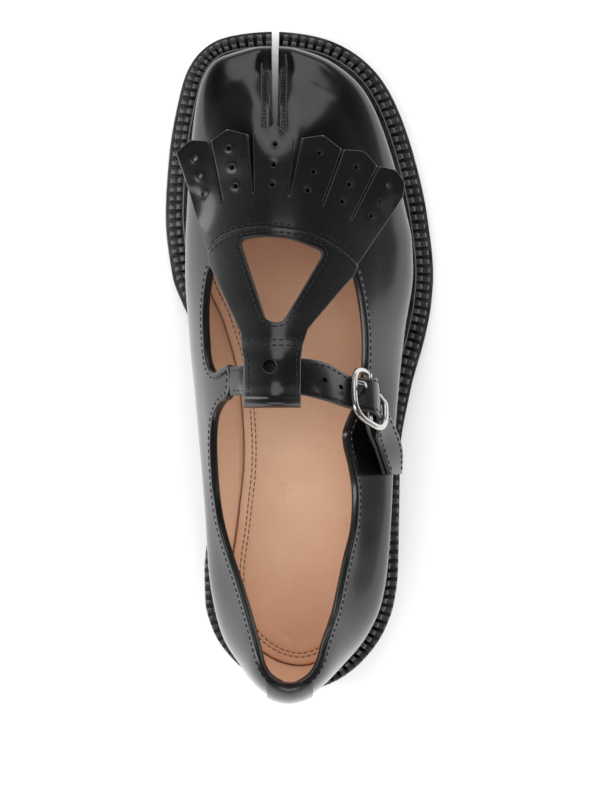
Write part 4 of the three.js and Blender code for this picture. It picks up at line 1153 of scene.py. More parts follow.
def edge_lugs(start, end, count, share, inset, depth):
    """Blocks round the edge of the tread, medial and then lateral, as outlines in plan."""
    lugs = []
    reach = end - start
    for side in (0, 1):
        for i in range(count):
            a = np.linspace(start + reach * i / count, start + reach * (i + share) / count, 7)
            outer = sole_point(a, side, inset)
            inner = sole_point(a, side, inset + depth)
            block = np.concatenate([outer[[0, 3, 6]], inner[[6, 3, 0]]])
            lugs.append(rounded_corners(block, LUG_ROUND))
    return lugs


def chevron(y, half, deep, bar):
    points = [(-half, y - deep), (0, y), (half, y - deep), (half, y - deep - bar), (0, y - bar),
              (-half, y - deep - bar)]
    return rounded_corners(points, LUG_ROUND)


def box_outline(y, width, depth):
    w, d = width / 2, depth / 2
    return rounded_corners([(-w, y - d), (w, y - d), (w, y + d), (-w, y + d)], LUG_ROUND)


def plate(inset, bottom, top, steps=260, soft=0.5):
    """A plate along the sole's edge with slightly rounded rims."""
    angles, _ = even_angles(steps)
    rows = ((soft, bottom, 0), (0.3 * soft, bottom, 0.3 * soft), (0, bottom, soft), (0, top, -soft),
            (0.3 * soft, top, -0.3 * soft), (soft, top, 0))
    at = inset(angles) if callable(inset) else inset
    levels = [edge_loop(angles, at + more, lambda y, form=form, rise=rise: form(y) + rise)
              for more, form, rise in rows]
    return ladder_solid(levels)


def lug_block(inset, bottom, top, outlines, name):
    """The tread's lugs: a plate cut to the outlines of its blocks."""
    tread = loose_mesh(name, *plate(inset, bottom, top, soft=0.25))
    lugs = [prism_tool(outline, BELOW_ALL, SKYLINE, "lug") for outline in outlines]
    first = lugs[0]
    cut_with(first, lugs[1:], "UNION")
    cut_with(tread, [first], "INTERSECT")
    return tread


# Materials

class Nodes:
    """Short ways to add and join the nodes of one tree."""

    def __init__(self, tree):
        self.tree = tree

    def add(self, kind, **inputs):
        settings = {key: value for key, value in inputs.items() if key[0].islower()}
        node = self.tree.nodes.new(kind)
        for key, value in settings.items():
            setattr(node, key, value)
        for key, value in inputs.items():
            if key not in settings:
                self.feed(node.inputs[key.replace("_", " ")], value)
        return node

    def feed(self, socket, value):
        if isinstance(value, bpy.types.NodeSocket):
            self.tree.links.new(value, socket)
        else:
            socket.default_value = value

    def surface(self, **inputs):
        """Feeds the sockets of the material's own shader."""
        for key, value in inputs.items():
            self.feed(self.tree.nodes["Principled BSDF"].inputs[key.replace("_", " ")], value)

    def where(self):
        return self.add("ShaderNodeTexCoord").outputs["Object"]

    def math(self, operation, a, b=0.0):
        node = self.tree.nodes.new("ShaderNodeMath")
        node.operation = operation
        self.feed(node.inputs[0], a)
        self.feed(node.inputs[1], b)
        return node.outputs[0]

    def span(self, value, from_low, from_high, to_low, to_high):
        node = self.tree.nodes.new("ShaderNodeMapRange")
        for i, part in enumerate((value, from_low, from_high, to_low, to_high)):
            self.feed(node.inputs[i], part)
        return node.outputs[0]

    def mix(self, factor, a, b):
        node = self.tree.nodes.new("ShaderNodeMix")
        node.data_type = "RGBA"
        self.feed(node.inputs[0], factor)
        self.feed(node.inputs[6], a)
        self.feed(node.inputs[7], b)
        return node.outputs[2]

    def weighted(self, *pairs):
        """The sum of values, each times its weight."""
        total = None
        for value, weight in pairs:
            part = self.math("MULTIPLY", value, weight)
            total = part if total is None else self.math("ADD", total, part)
        return total

    def noise(self, vector, scale, detail=3.0, roughness=0.5):
        node = self.add(
            "ShaderNodeTexNoise", Vector=vector, Scale=scale, Detail=detail, Roughness=roughness)
        return node.outputs["Fac"]


def new_group(name, inputs, outputs):
    """A node group with named inputs (name, kind, default) and outputs (name, kind)."""
    tree = bpy.data.node_groups.new(name, "ShaderNodeTree")
    for label, kind, default in inputs:
        socket = tree.interface.new_socket(label, in_out="INPUT", socket_type=kind)
        socket.default_value = default
    for label, kind in outputs:
        tree.interface.new_socket(label, in_out="OUTPUT", socket_type=kind)
    nodes = Nodes(tree)
    return tree, nodes, nodes.add("NodeGroupInput"), nodes.add("NodeGroupOutput")


def grain_group():
    """Leather grain: fine pebbles, stretched pores and slow waves."""
    inputs = (("Pebble scale", FLOAT, 900.0), ("Pore scale", FLOAT, 300.0), ("Wave scale", FLOAT, 45.0),
              ("Pebble", FLOAT, 0.4), ("Pore", FLOAT, 0.3), ("Wave", FLOAT, 0.5))
    outputs = (("Height", FLOAT), ("Mask", FLOAT))
    tree, nodes, given, result = new_group("Leather grain", inputs, outputs)
    where = nodes.where()
    cells = nodes.add("ShaderNodeTexVoronoi", feature="SMOOTH_F1", Vector=where,
                      Scale=given.outputs["Pebble scale"])
    pores = nodes.noise(where, given.outputs["Pore scale"], 4.0, 0.6)
    waves = nodes.noise(where, given.outputs["Wave scale"], 2.0, 0.5)
    height = nodes.weighted((cells.outputs["Distance"], given.outputs["Pebble"]),
                            (pores, given.outputs["Pore"]), (waves, given.outputs["Wave"]))
    nodes.feed(result.inputs["Height"], height)
    nodes.feed(result.inputs["Mask"], nodes.weighted((pores, 0.6), (waves, 0.4)))
    return tree


def wear_group():
    """Cut edges and rubbed corners: the stored edge mask broken up by noise."""
    inputs = (("Scale", FLOAT, 350.0), ("Amount", FLOAT, 1.0))
    tree, nodes, given, result = new_group("Cut edge", inputs, (("Mask", FLOAT),))
    where = nodes.where()
    edge = nodes.add("ShaderNodeAttribute", attribute_name="edge").outputs["Fac"]
    broken = nodes.span(nodes.noise(where, given.outputs["Scale"], 3.0, 0.6), 0.3, 0.7, 0.65, 1.0)
    nodes.feed(result.inputs["Mask"], nodes.math("MULTIPLY", nodes.math("MULTIPLY", edge, broken),
                                                 given.outputs["Amount"]))
    return tree


def place_group(nodes, name, **inputs):
    node = nodes.tree.nodes.new("ShaderNodeGroup")
    node.node_tree = bpy.data.node_groups[name]
    for key, value in inputs.items():
        nodes.feed(node.inputs[key.replace("_", " ")], value)
    return node


def new_material(name, **shader):
    material = bpy.data.materials.new(name)
    material.use_nodes = True
    nodes = Nodes(material.node_tree)
    nodes.surface(**shader)
    return material, nodes


def darker(colour, share):
    return tuple(part * share for part in colour[:3]) + (1,)


def bump(nodes, height, strength, distance=0.0003):
    node = nodes.add("ShaderNodeBump", Strength=strength, Distance=distance, Height=height)
    nodes.surface(Normal=node.outputs["Normal"])


def calf_material(name, colour, edge_colour, roughness, coat, relief):
    """Polished black calf: smooth grain, lighter cut edges and a soft finish coat."""
    material, nodes = new_material(
        name, Specular_IOR_Level=0.5, Coat_Weight=coat, Coat_Roughness=0.12, Coat_IOR=1.45)
    grain = place_group(nodes, "Leather grain", Pebble_scale=1500.0, Pore_scale=420.0, Wave_scale=38.0,
                        Pebble=0.22, Pore=0.16, Wave=0.62)
    edge = place_group(nodes, "Cut edge", Scale=420.0, Amount=1.0)
    dark = darker(colour, 0.7)
    tone = nodes.mix(nodes.span(grain.outputs["Mask"], 0.3, 0.7, 0.0, 1.0), dark, colour)
    rough = nodes.span(grain.outputs["Mask"], 0.25, 0.75, roughness - 0.03, roughness + 0.05)
    rough = nodes.math("ADD", rough, nodes.math("MULTIPLY", edge.outputs["Mask"], 0.28))
    nodes.surface(Base_Color=nodes.mix(edge.outputs["Mask"], tone, edge_colour), Roughness=rough)
    bump(nodes, grain.outputs["Height"], relief)
    return material


def rubber_material(name, colour, pale, roughness):
    """Moulded rubber: matt, faintly mottled, paler where it is rubbed."""
    material, nodes = new_material(name, Specular_IOR_Level=0.5)
    where = nodes.where()
    patches = nodes.noise(where, 160.0, 4.0, 0.6)
    specks = nodes.noise(where, 1400.0, 2.0, 0.6)
    blend = nodes.span(nodes.weighted((patches, 0.7), (specks, 0.3)), 0.35, 0.7, 0.0, 1.0)
    nodes.surface(Base_Color=nodes.mix(blend, colour, pale),
                  Roughness=nodes.span(specks, 0.3, 0.7, roughness - 0.08, roughness + 0.1))
    bump(nodes, nodes.math("ADD", nodes.math("MULTIPLY", specks, 0.6), patches), 0.35)
    return material


def tan_material(name, colour, pale, roughness):
    """Vegetable tan: soft mottling, fine pores and a matt surface."""
    material, nodes = new_material(
        name, Specular_IOR_Level=0.35, Sheen_Weight=0.15, Sheen_Roughness=0.5)
    grain = place_group(nodes, "Leather grain", Pebble_scale=1300.0, Pore_scale=520.0, Wave_scale=70.0,
                        Pebble=0.55, Pore=0.5, Wave=0.25)
    where = nodes.where()
    cloud = nodes.noise(where, 26.0, 3.0, 0.55)
    tone = nodes.mix(nodes.span(cloud, 0.35, 0.68, 0.0, 1.0), colour, pale)
    deep = darker(colour, 0.86)
    mask = grain.outputs["Mask"]
    nodes.surface(Base_Color=nodes.mix(nodes.span(mask, 0.55, 0.75, 0.0, 0.6), tone, deep),
                  Roughness=nodes.span(mask, 0.3, 0.7, roughness - 0.06, roughness + 0.08))
    bump(nodes, grain.outputs["Height"], 0.75)
    return material


def metal_material(name, colour, roughness):
    """Silver-coloured plating with faint rubbing marks."""
    material, nodes = new_material(name, Metallic=1.0)
    where = nodes.where()
    rubbed = nodes.noise(where, 700.0, 4.0, 0.7)
    dull = darker(colour, 0.82)
    nodes.surface(Base_Color=nodes.mix(nodes.span(rubbed, 0.35, 0.75, 0.0, 1.0), colour, dull),
                  Roughness=nodes.span(rubbed, 0.3, 0.7, roughness - 0.05, roughness + 0.08))
    return material


def thread_material(name, colour, roughness):
    """Twisted sewing thread."""
    material, nodes = new_material(name, Specular_IOR_Level=0.4)
    where = nodes.where()
    twist = nodes.noise(where, 2400.0, 2.0, 0.5)
    dark = darker(colour, 0.65)
    nodes.surface(Base_Color=nodes.mix(nodes.span(twist, 0.35, 0.65, 0.0, 1.0), dark, colour),
                  Roughness=nodes.span(twist, 0.3, 0.7, roughness - 0.1, roughness + 0.1))
    bump(nodes, twist, 0.5, 0.0001)
    return material


def floor_material(colour):
    material, nodes = new_material("floor_card", Specular_IOR_Level=0.1, Roughness=0.9)
    where = nodes.where()
    fibres = nodes.noise(where, 260.0, 3.0, 0.6)
    warm = darker(colour, 0.995)
    nodes.surface(Base_Color=nodes.mix(fibres, colour, warm))
    return material


# Sizes, colours and finishes

def length_property(name, description, default_mm, low_mm, high_mm):
    return bpy.props.FloatProperty(
        name=name, description=description, default=default_mm * MM, min=low_mm * MM, max=high_mm * MM,
        unit="LENGTH", subtype="DISTANCE", precision=5)


def colour_property(name, description, default):
    return bpy.props.FloatVectorProperty(
        name=name, description=description, default=default, size=4, min=0.0, max=1.0, subtype="COLOR")


class ShoeSizes(bpy.types.PropertyGroup):
    """Sizes that a maker would change without a new last."""
    rib_pitch: length_property("Rib pitch", "Distance between the ribs of the sole's side", 3.7, 2, 8)
    stitch_pitch: length_property("Stitch pitch", "From one stitch to the next on the leather", 2.6, 1, 6)
    thread_width: length_property("Thread width", "Thickness of the sewing thread", 0.5, 0.2, 1.2)
    stitch_inset: length_property(
        "Stitch inset", "From a leather edge to its first row of stitches", 1.7, 1, 5)
    binding_width: length_property(
        "Binding width", "Width of the collar's binding on the outside", 2.6, 1, 6)
    leather: length_property("Strap leather", "Thickness of the kiltie and the straps", LEATHER, 0.8, 3)
    outer_leather: length_property(
        "Outer leather", "Black leather of the upper, without its lining", 1.15, 0.6, 2)


class ShoeColours(bpy.types.PropertyGroup):
    """Colours of the shoe's leathers, rubber, metal and thread."""
    calf: colour_property("Calf", "Polished black calf", (0.0016, 0.0018, 0.0018, 1))
    strap_calf: colour_property(
        "Strap calf", "Duller calf of the kiltie and the straps", (0.006, 0.0063, 0.0063, 1))
    cut_edge: colour_property("Cut edge", "Raw edge of the black leather", (0.03, 0.03, 0.028, 1))
    rubber: colour_property("Rubber", "Black rubber of the sole", (0.009, 0.009, 0.0095, 1))
    rubber_pale: colour_property("Rubbed rubber", "Paler patches of the rubber", (0.05, 0.05, 0.051, 1))
    tan: colour_property("Tan", "Vegetable tan of insole and lining", (0.63, 0.38, 0.245, 1))
    tan_pale: colour_property("Pale tan", "Lighter clouds in the tan", (0.71, 0.45, 0.3, 1))
    silver: colour_property("Silver", "Plating of the buckle", (0.6, 0.595, 0.58, 1))
    black_thread: colour_property("Black thread", "Thread on the black leather", (0.009, 0.009, 0.01, 1))
    tan_thread: colour_property("Tan thread", "Thread on the insole", (0.27, 0.14, 0.08, 1))
    card: colour_property("Card", "Pale floor", (0.93, 0.93, 0.93, 1))


# Each finish: how it is made, its colours, and its values in that function's order
FINISHES = {
    "polished_calf": (calf_material, ("calf", "cut_edge"), (0.2, 0.4, 0.18)),
    "strap_calf": (calf_material, ("strap_calf", "cut_edge"), (0.25, 0.4, 0.12)),
    "sole_rubber": (rubber_material, ("rubber", "rubber_pale"), (0.27,)),
    "welt_rubber": (rubber_material, ("rubber", "rubber_pale"), (0.28,)),
    "insole_tan": (tan_material, ("tan", "tan_pale"), (0.5,)),
    "lining_tan": (tan_material, ("tan_pale", "tan"), (0.56,)),
    "buckle_silver": (metal_material, ("silver",), (0.22,)),
    "black_thread": (thread_material, ("black_thread",), (0.45,)),
    "tan_thread": (thread_material, ("tan_thread",), (0.6,)),
}


def finish(context, name):
    """A finish of the shoe, made the first time it is asked for."""
    known = bpy.data.materials.get(name)
    if known:
        return known
    make, colours, values = FINISHES[name]
    return make(name, *(tuple(getattr(context.scene.shoe_colours, colour)) for colour in colours), *values)


def sew_calf(context, name, lines, pitch=None, share=STITCH_SHARE):
    """Black stitches on the black leather."""
    sizes = context.scene.shoe_sizes
    sew(name, lines, finish(context, "black_thread"), pitch or sizes.stitch_pitch / MM, share,
        sizes.thread_width / MM / 2)


def lines_on(low_at, lift, *paths):
    """Stitch lines: paths in plan set on a leather's upper face."""
    lines = []
    for path in paths:
        base, normal, extra = low_at(np.asarray(path, float))
        lines.append((base + normal * (lift + extra)[:, None], normal))
    return lines


# The pieces

class SHOE_OT_sole(bpy.types.Operator):
    """Outsole with its lugs, heel block and ribbed midsole"""
    bl_idname = "shoe.sole"
    bl_label = "Sole"

    def execute(self, context):
        rubber = finish(context, "sole_rubber")
        sizes = context.scene.shoe_sizes
        lugs = edge_lugs(*SOLE_LUGS)
        lugs += [chevron(HEEL_BACK + LENGTH * at, *CHEVRON) for at in np.linspace(*CHEVRONS_AT)]
        outsole = loose_mesh("outsole_detail", *plate(outsole_inset, plate_bottom, plate_top))
        tread = lug_block(0.8, tread_surface, lambda y: plate_bottom(y) + 0.3, lugs, "tread")
        cut_with(outsole, [tread], "UNION")
        cut_with(outsole, [cleft_tool(0)])
        finish_piece(outsole, rubber, 30)
        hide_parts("outsole")
        self.make_heel(rubber)
        midsole = loose_mesh("midsole_detail", *midsole_mesh(sizes.rib_pitch / MM))
        cut_with(midsole, [cleft_tool(0)])
        finish_piece(midsole, rubber, 35)
        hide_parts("midsole")
        return {"FINISHED"}

    def make_heel(self, rubber):
        middle = (HEEL_BACK + HEEL_BREAST) / 2 - 2
        half = HEEL_BREAST - middle
        back = middle - half - 9
        outline = [(-80, back), (80, back), (80, HEEL_BREAST), (-80, HEEL_BREAST)]
        behind = prism_tool(outline, BELOW_ALL, SKYLINE, "breast")
        block = plate(1.2, level(LUG_HEIGHT), lambda y: plate_bottom(y) - CLEARANCE)
        heel = loose_mesh("heel_detail", *block)
        cut_with(heel, [behind], "INTERSECT")
        outlines = edge_lugs(*HEEL_LUGS)
        outlines += [box_outline(*block) for block in HEEL_BLOCKS]
        lugs = lug_block(1.2, level(0), level(LUG_HEIGHT + 0.3), outlines, "heel_lugs")
        cut_with(heel, [lugs], "UNION")
        finish_piece(heel, rubber, 30)
        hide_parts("heel")


class SHOE_OT_welt(bpy.types.Operator):
    """Welt ring with its double bead"""
    bl_idname = "shoe.welt"
    bl_label = "Welt"

    def execute(self, context):
        angles, _ = even_angles(420)
        loops = [edge_loop(angles, SIDE_STEP + inset, above_seat(rise)) for inset, rise in WELT_SECTION]
        count = len(loops[0])
        faces = loft_faces(len(loops) + 1, count)
        points, faces = weld(np.concatenate([*loops, loops[0]]), faces)
        welt = loose_mesh("welt_detail", points, outward(points, faces))
        cut_with(welt, [cleft_tool(0)])
        finish_piece(welt, finish(context, "welt_rubber"), 40)
        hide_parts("welt")
        return {"FINISHED"}


class SHOE_OT_insole(bpy.types.Operator):
    """Padded tan insole with its double row of stitches"""
    bl_idname = "shoe.insole"
    bl_label = "Insole"

    def rim(self, angles, side):
        return feather_plan[side](place(angles)) * SIDE_STEP + WALL + 0.08

    def height(self, y, rise, inset):
        heel = 1 - smoothstep(y, 10, 60)
        cup = 1.1 * heel * (1 - smoothstep(inset, 0, 14))
        return seat(y) + INSOLE_THICKNESS + rise + cup

    def execute(self, context):
        angles, _ = even_angles(260)
        loops = []
        for inset, rise in PAD_SECTION:
            loops.append(edge_loop(angles, lambda a, side: self.rim(a, side) + inset,
                                   lambda y: self.height(y, rise, inset)))
        core = loops[-1]
        count = len(core)
        other = core[(count - np.arange(count)) % count]
        for u in np.linspace(0.06, 0.5, 12):
            row = core * (1 - u) + other * u
            row[:, 2] = self.height(row[:, 1], 0.2, 9 + 30 * u)
            loops.append(row)
        foot = loops[0].copy()
        foot[:, 2] = seat(foot[:, 1]) + CLEARANCE + 0.05
        insole = loose_mesh("insole_detail", *ladder_solid([foot, *loops]))
        cut_with(insole, [cleft_tool(WALL + 2 * CLEARANCE)])
        finish_piece(insole, finish(context, "insole_tan"), 50)
        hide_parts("insole")
        lines = []
        for inset in INSOLE_STITCHES:
            loop = edge_loop(angles, lambda a, side: self.rim(a, side) + inset,
                             lambda y: self.height(y, -0.12, inset))
            around = np.roll(loop, -count // 2, axis=0)
            line = around[self.visible(around)]
            lines.append((line, np.tile((0, 0, 1.0), (len(line), 1))))
        sew("insole_stitches", lines, finish(context, "tan_thread"), 2.4, 0.7, 0.25)
        return {"FINISHED"}

    def visible(self, loop):
        """The rows of stitches end under the vamp."""
        return loop[:, 1] < HEEL_BACK + 0.78 * LENGTH


def collar_path(spacing=0.9):
    """The collar's rim: its points, the way out from the opening, and the way up from the leather."""
    curve = opening_curve(spacing)
    base, normal = surface_frame(curve)
    run = unit(np.roll(base, -1, axis=0) - np.roll(base, 1, axis=0))
    aside = unit(np.cross(run, normal))
    if turning(curve) < 0:
        aside = -aside
    return base, aside, normal


class SHOE_OT_upper(bpy.types.Operator):
    """Black outer leather, tan lining and the collar's binding"""
    bl_idname = "shoe.upper"
    bl_label = "Upper"

    def execute(self, context):
        sizes = context.scene.shoe_sizes
        outer = sizes.outer_leather / MM
        body = shell("upper_leather", 0.0, -outer, CLEARANCE, finish(context, "polished_calf"))
        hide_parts("upper")
        tan = finish(context, "lining_tan")
        shell("upper_lining", -outer - 0.05, -WALL, CLEARANCE, tan)
        base, aside, normal = collar_path()
        width = sizes.binding_width / MM
        outside = [(width, -0.25), (width - 0.05, 0.3), (width - 0.4, 0.48), (width * 0.55, 0.6)]
        section = np.array([*outside, *BINDING_INSIDE])
        sweep("collar_binding", base, aside, normal, section, True, finish(context, "strap_calf"))
        row = base + aside * (width * 0.78) + normal * 0.5
        line = np.concatenate([row, row[:1]]), np.concatenate([normal, normal[:1]])
        sew_calf(context, "collar_stitches", [line])
        return {"FINISHED"}


class SHOE_OT_toe_split(bpy.types.Operator):
    """Flat strips beside the slot between the toes, with their double rows of stitches"""
    bl_idname = "shoe.toe_split"
    bl_label = "Toe split"

    def execute(self, context):
        calf = finish(context, "polished_calf")
        threads = []
        for name, side, width in STRIP_WIDTHS:
            ys = np.linspace(*STRIP_RUN, 50)
            slot = CLEFT_REAR / 2 + (CLEFT_FRONT - CLEFT_REAR) / 2 * smoothstep(ys, CLEFT_BACK, 231)
            near = CLEFT_X + side * (slot + 0.05)
            far = CLEFT_X + side * (slot + width - 0.9 * smoothstep(ys, STRIP_STITCHES[1], 222))
            low_at = self.rolled(side, width)
            outline = np.concatenate([np.stack([near, ys], 1), np.stack([far, ys], 1)[::-1]])
            leather_sheet("toe_strip_" + name, outline, [], low_at, 0.5, calf, "calf",
                          rounding=0.3, spacing=0.9)
            for sense in (0, 1):
                steps = np.arange(*STRIP_STITCHES, 1.5)
                turn = (np.arange(len(steps)) + sense) % 2
                across = np.interp(steps, ys, far) - side * (0.25 + 1.7 * turn)
                threads += lines_on(low_at, 0.5, np.stack([across, steps], 1))
        sew_calf(context, "toe_stitches", threads, 2.24, 0.86)
        return {"FINISHED"}

    def rolled(self, side, width):
        """The strip's lower face: on the leather, swelling to a roll beside the slot."""
        def place_on(xy):
            base, normal = surface_frame(xy)
            u = np.clip((side * (xy[:, 0] - CLEFT_X) - CLEFT_REAR / 2) / width, 0, 1)
            return base + normal * 0.05, normal, 0.55 * np.sin(math.pi * np.clip(u * 1.6, 0, 1)) + 0.1
        return place_on


class SHOE_OT_back_strip(bpy.types.Operator):
    """Strip over the heel's seam"""
    bl_idname = "shoe.back_strip"
    bl_label = "Back strip"

    def execute(self, context):
        low, high = (side * BALL_WIDTH for side in BACK_STRIP_SIDES)
        front = HEEL_BACK + BACK_STRIP_FRONT * LENGTH
        angles = np.linspace(0, 0.4, 120)
        strip = loose_mesh("back_strip_detail", *last_mesh(1.0, angles=angles))
        core = loose_mesh("core", *last_mesh(0.1, angles=angles))
        outline = [(low, HEEL_BACK - 5), (high, HEEL_BACK - 5), (high, front), (low, front)]
        cut_with(strip, [prism_tool(outline, HEEL_SEAT, SKYLINE)], "INTERSECT")
        cut_with(strip, [core, below_seat_tool(0.9)])
        finish_piece(strip, finish(context, "strap_calf"), 35)
        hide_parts("back_strip")
        return {"FINISHED"}


class SHOE_OT_kiltie(bpy.types.Operator):
    """Fringe of six pointed lobes with punched holes"""
    bl_idname = "shoe.kiltie"
    bl_label = "Kiltie"

    def execute(self, context):
        sizes = context.scene.shoe_sizes
        holes = [round_outline(centre, PUNCH / 2) for centre in kiltie_holes()]
        kiltie = leather_sheet("kiltie_detail", kiltie_outline(), holes, kiltie_low, sizes.leather / MM,
                               finish(context, "strap_calf"), "calf", rounding=0.4, spacing=1.1)
        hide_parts("kiltie")
        arc = seam_arc((sizes.stitch_inset / MM) / LENGTH, 0.8)
        sew_calf(context, "kiltie_stitches", lines_on(kiltie_low, sizes.leather / MM, arc[2:-2]))
        return {"FINISHED"}


class SHOE_OT_y_strap(bpy.types.Operator):
    """Y-shaped instep strap, folded round the ankle strap"""
    bl_idname = "shoe.y_strap"
    bl_label = "Y strap"

    def execute(self, context):
        sizes = context.scene.shoe_sizes
        leather = sizes.leather / MM
        inset = sizes.stitch_inset / MM
        hole = rounded_corners(plan(CUT_OUT), CUT_OUT_ROUND)
        centre = plan([TAB_HOLE])[0]
        holes = [hole, round_outline(centre, TAB_HOLE_WIDTH / 2, 30)]
        strap = leather_sheet("y_strap_detail", y_strap_outline(), holes, y_strap_low, leather,
                              finish(context, "strap_calf"), "calf", rounding=0.45, spacing=1.1)
        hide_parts("y_strap")
        away = inset if turning(hole) < 0 else -inset
        around = inset_loop(resample(hole, 0.8, closed=True), away)
        around = np.concatenate([around, around[:1]])
        arc = seam_arc(-inset / LENGTH, 0.8)[2:-2]
        left, right = (side * BALL_WIDTH for side in TAB_SIDES)
        rows = [around, arc]
        for y in TAB_STITCHES:
            rows.append(np.stack([np.linspace(left + inset, right - inset, 30), np.full(30, y)], 1))
        for x in (left + inset, right - inset):
            rows.append(np.stack([np.full(30, x), np.linspace(TAB_STITCHES[1], FOLD_Y + 0.5, 30)], 1))
        sew_calf(context, "y_strap_stitches", lines_on(y_strap_low, leather, *rows))
        return {"FINISHED"}


def strap_edges():
    steps = np.linspace(0, 1, 7)[:, None]
    edges = []
    for ends, free in ((STRAP_FRONT_ON_INSTEP, STRAP_FRONT), (STRAP_REAR_ON_INSTEP, STRAP_REAR)):
        start, end = plan(ends)
        flat = start * (1 - steps) + end * steps
        top = surface_height(flat[:, 0], flat[:, 1]) + STRAP_LIFT + LEATHER
        edges.append(np.concatenate([np.column_stack([flat, top]), spot(free)]))
    return edges


def edge_stitches(front, rear, inset):
    """Stitch lines along both edges of a strap."""
    up, wide = band_axes(front, rear)
    part = slice(2, -2)
    ahead = front - wide * inset + up * 0.1
    behind = rear + wide * inset + up * 0.1
    return [(ahead[part], up[part]), (behind[part], up[part])]


def strap_hole_tool(front, rear, row):
    """A short round pin into a strap, for a hole that stops short of its lower face: the black leather left
    at the hole's bottom is painted shade, a dark floor where a hole through would show what lies below.
    """
    up, _ = band_axes(front, rear)
    centre = rear[row] + (front[row] - rear[row]) * 0.5
    axis = up[row]
    aside = unit(np.cross(axis, (0.3, 1, 0)))
    other = np.cross(axis, aside)
    turns = np.linspace(0, 2 * np.pi, 24, endpoint=False)
    ring = STRAP_HOLE_RADIUS * (np.cos(turns)[:, None] * aside + np.sin(turns)[:, None] * other)
    # The pin reaches 1.25 mm into the 1.6 mm strap, so the hole keeps a black floor: painted shade in place
    # of a hole through
    points = np.concatenate([centre + ring - axis * 1.25, centre + ring + axis * 3])
    return loose_mesh("pin", points, outward(points, capped_faces(2, 24)))


class SHOE_OT_ankle_strap(bpy.types.Operator):
    """Ankle strap and the chape that carries the buckle"""
    bl_idname = "shoe.ankle_strap"
    bl_label = "Ankle strap"

    def execute(self, context):
        sizes = context.scene.shoe_sizes
        calf = finish(context, "strap_calf")
        front, rear = edge_pair(*strap_edges(), 16)
        middle, run, wide, _ = buckle_axes()
        along = (front - middle) @ run
        front = front + wide * (STRAP_SPREAD * np.exp(-((along - 3.5) / 5.5) ** 2))[:, None]
        strap = band("ankle_strap_detail", front, rear, LEATHER, calf)
        # Blind holes: the black leather left at their bottom is painted shade
        pins = [strap_hole_tool(front, rear, row) for row in STRAP_HOLES]
        cut_with(strap, pins)
        finish_piece(strap, calf, 50)
        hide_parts("ankle_strap")
        chape_front, chape_rear = edge_pair(spot(CHAPE_FRONT), spot(CHAPE_REAR), 24)
        chape = band("chape_detail", chape_front, chape_rear, LEATHER, calf)
        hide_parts("chape")
        lines = edge_stitches(front, rear, sizes.stitch_inset / MM)
        lines += edge_stitches(chape_front, chape_rear, sizes.stitch_inset / MM)
        sew_calf(context, "strap_stitches", lines)
        return {"FINISHED"}


def buckle_axes():
    run = unit(np.array(BUCKLE_RUN))
    wide = np.array(BUCKLE_WIDTH)
    wide = unit(wide - run * np.dot(wide, run))
    return spot(np.array([BUCKLE_MIDDLE]))[0], run, wide, np.cross(run, wide)


def wire(name, points, upward, radius, closed, material):
    """A round wire along a path."""
    if closed:
        run = unit(np.roll(points, -1, axis=0) - np.roll(points, 1, axis=0))
    else:
        run = unit(np.gradient(points, axis=0))
    up = unit(upward - run * (run @ upward)[:, None])
    aside = np.cross(up, run)
    turns = np.linspace(0, 2 * np.pi, 16, endpoint=False)
    section = np.stack([np.cos(turns) * radius, np.sin(turns) * radius], 1)
    return sweep(name, points, aside, up, section, closed, material)


class SHOE_OT_buckle(bpy.types.Operator):
    """Silver buckle: frame, middle bar and prong"""
    bl_idname = "shoe.buckle"
    bl_label = "Buckle"

    def execute(self, context):
        silver = finish(context, "buckle_silver")
        middle, run, wide, out = buckle_axes()
        turns = np.linspace(0, 2 * np.pi, 120, endpoint=False)
        c, s = np.cos(turns), np.sin(turns)
        a = np.sign(c) * np.abs(c) ** BUCKLE_SQUARE * BUCKLE_RUN_LENGTH / 2
        b = np.sign(s) * np.abs(s) ** BUCKLE_SQUARE * BUCKLE_WIDTH_LENGTH / 2
        dip = BUCKLE_DIP * smoothstep(a, -3, 4) * smoothstep(b, 1, 8)
        loop = middle + a[:, None] * run + b[:, None] * wide - dip[:, None] * out
        loop = resample(loop, 0.6, closed=True)
        ring = wire("buckle_frame_detail", loop, out, BUCKLE_WIRE / 2, True, silver)
        bar_run = np.linspace(-BUCKLE_WIDTH_LENGTH / 2, BUCKLE_WIDTH_LENGTH / 2, 12)
        wire("buckle_bar", middle + bar_run[:, None] * wide, out, BAR_RADIUS, False, silver)
        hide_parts("buckle_frame")
        on_strap = BUCKLE_WIRE / 2 + LEATHER
        knots = [(-1, 0), (-4.4, 0.9), (-6.3, on_strap), (-8.2, on_strap + 0.8),
                 (-BUCKLE_RUN_LENGTH / 2 - 0.8, BUCKLE_WIRE / 2 + 1.2)]
        points = np.array([middle + run * r + wide * PRONG_SIDE + out * o for r, o in knots])
        path = smooth_curve(points, 0.4)
        prong = wire("buckle_prong_detail", path, out, PRONG_RADIUS, False, silver)
        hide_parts("buckle_prong")
        return {"FINISHED"}


# The stage

def soft_box(name, position, width, height, power):
    light = bpy.data.lights.new(name, "AREA")
    light.shape = "RECTANGLE"
    light.size = width
    light.size_y = height
    light.energy = power
    lamp = bpy.data.objects.new(name, light)
    lamp.location = position
    direction = Vector(AIM) - Vector(position)
    lamp.rotation_euler = direction.to_track_quat("-Z", "Y").to_euler()
    bpy.context.collection.objects.link(lamp)


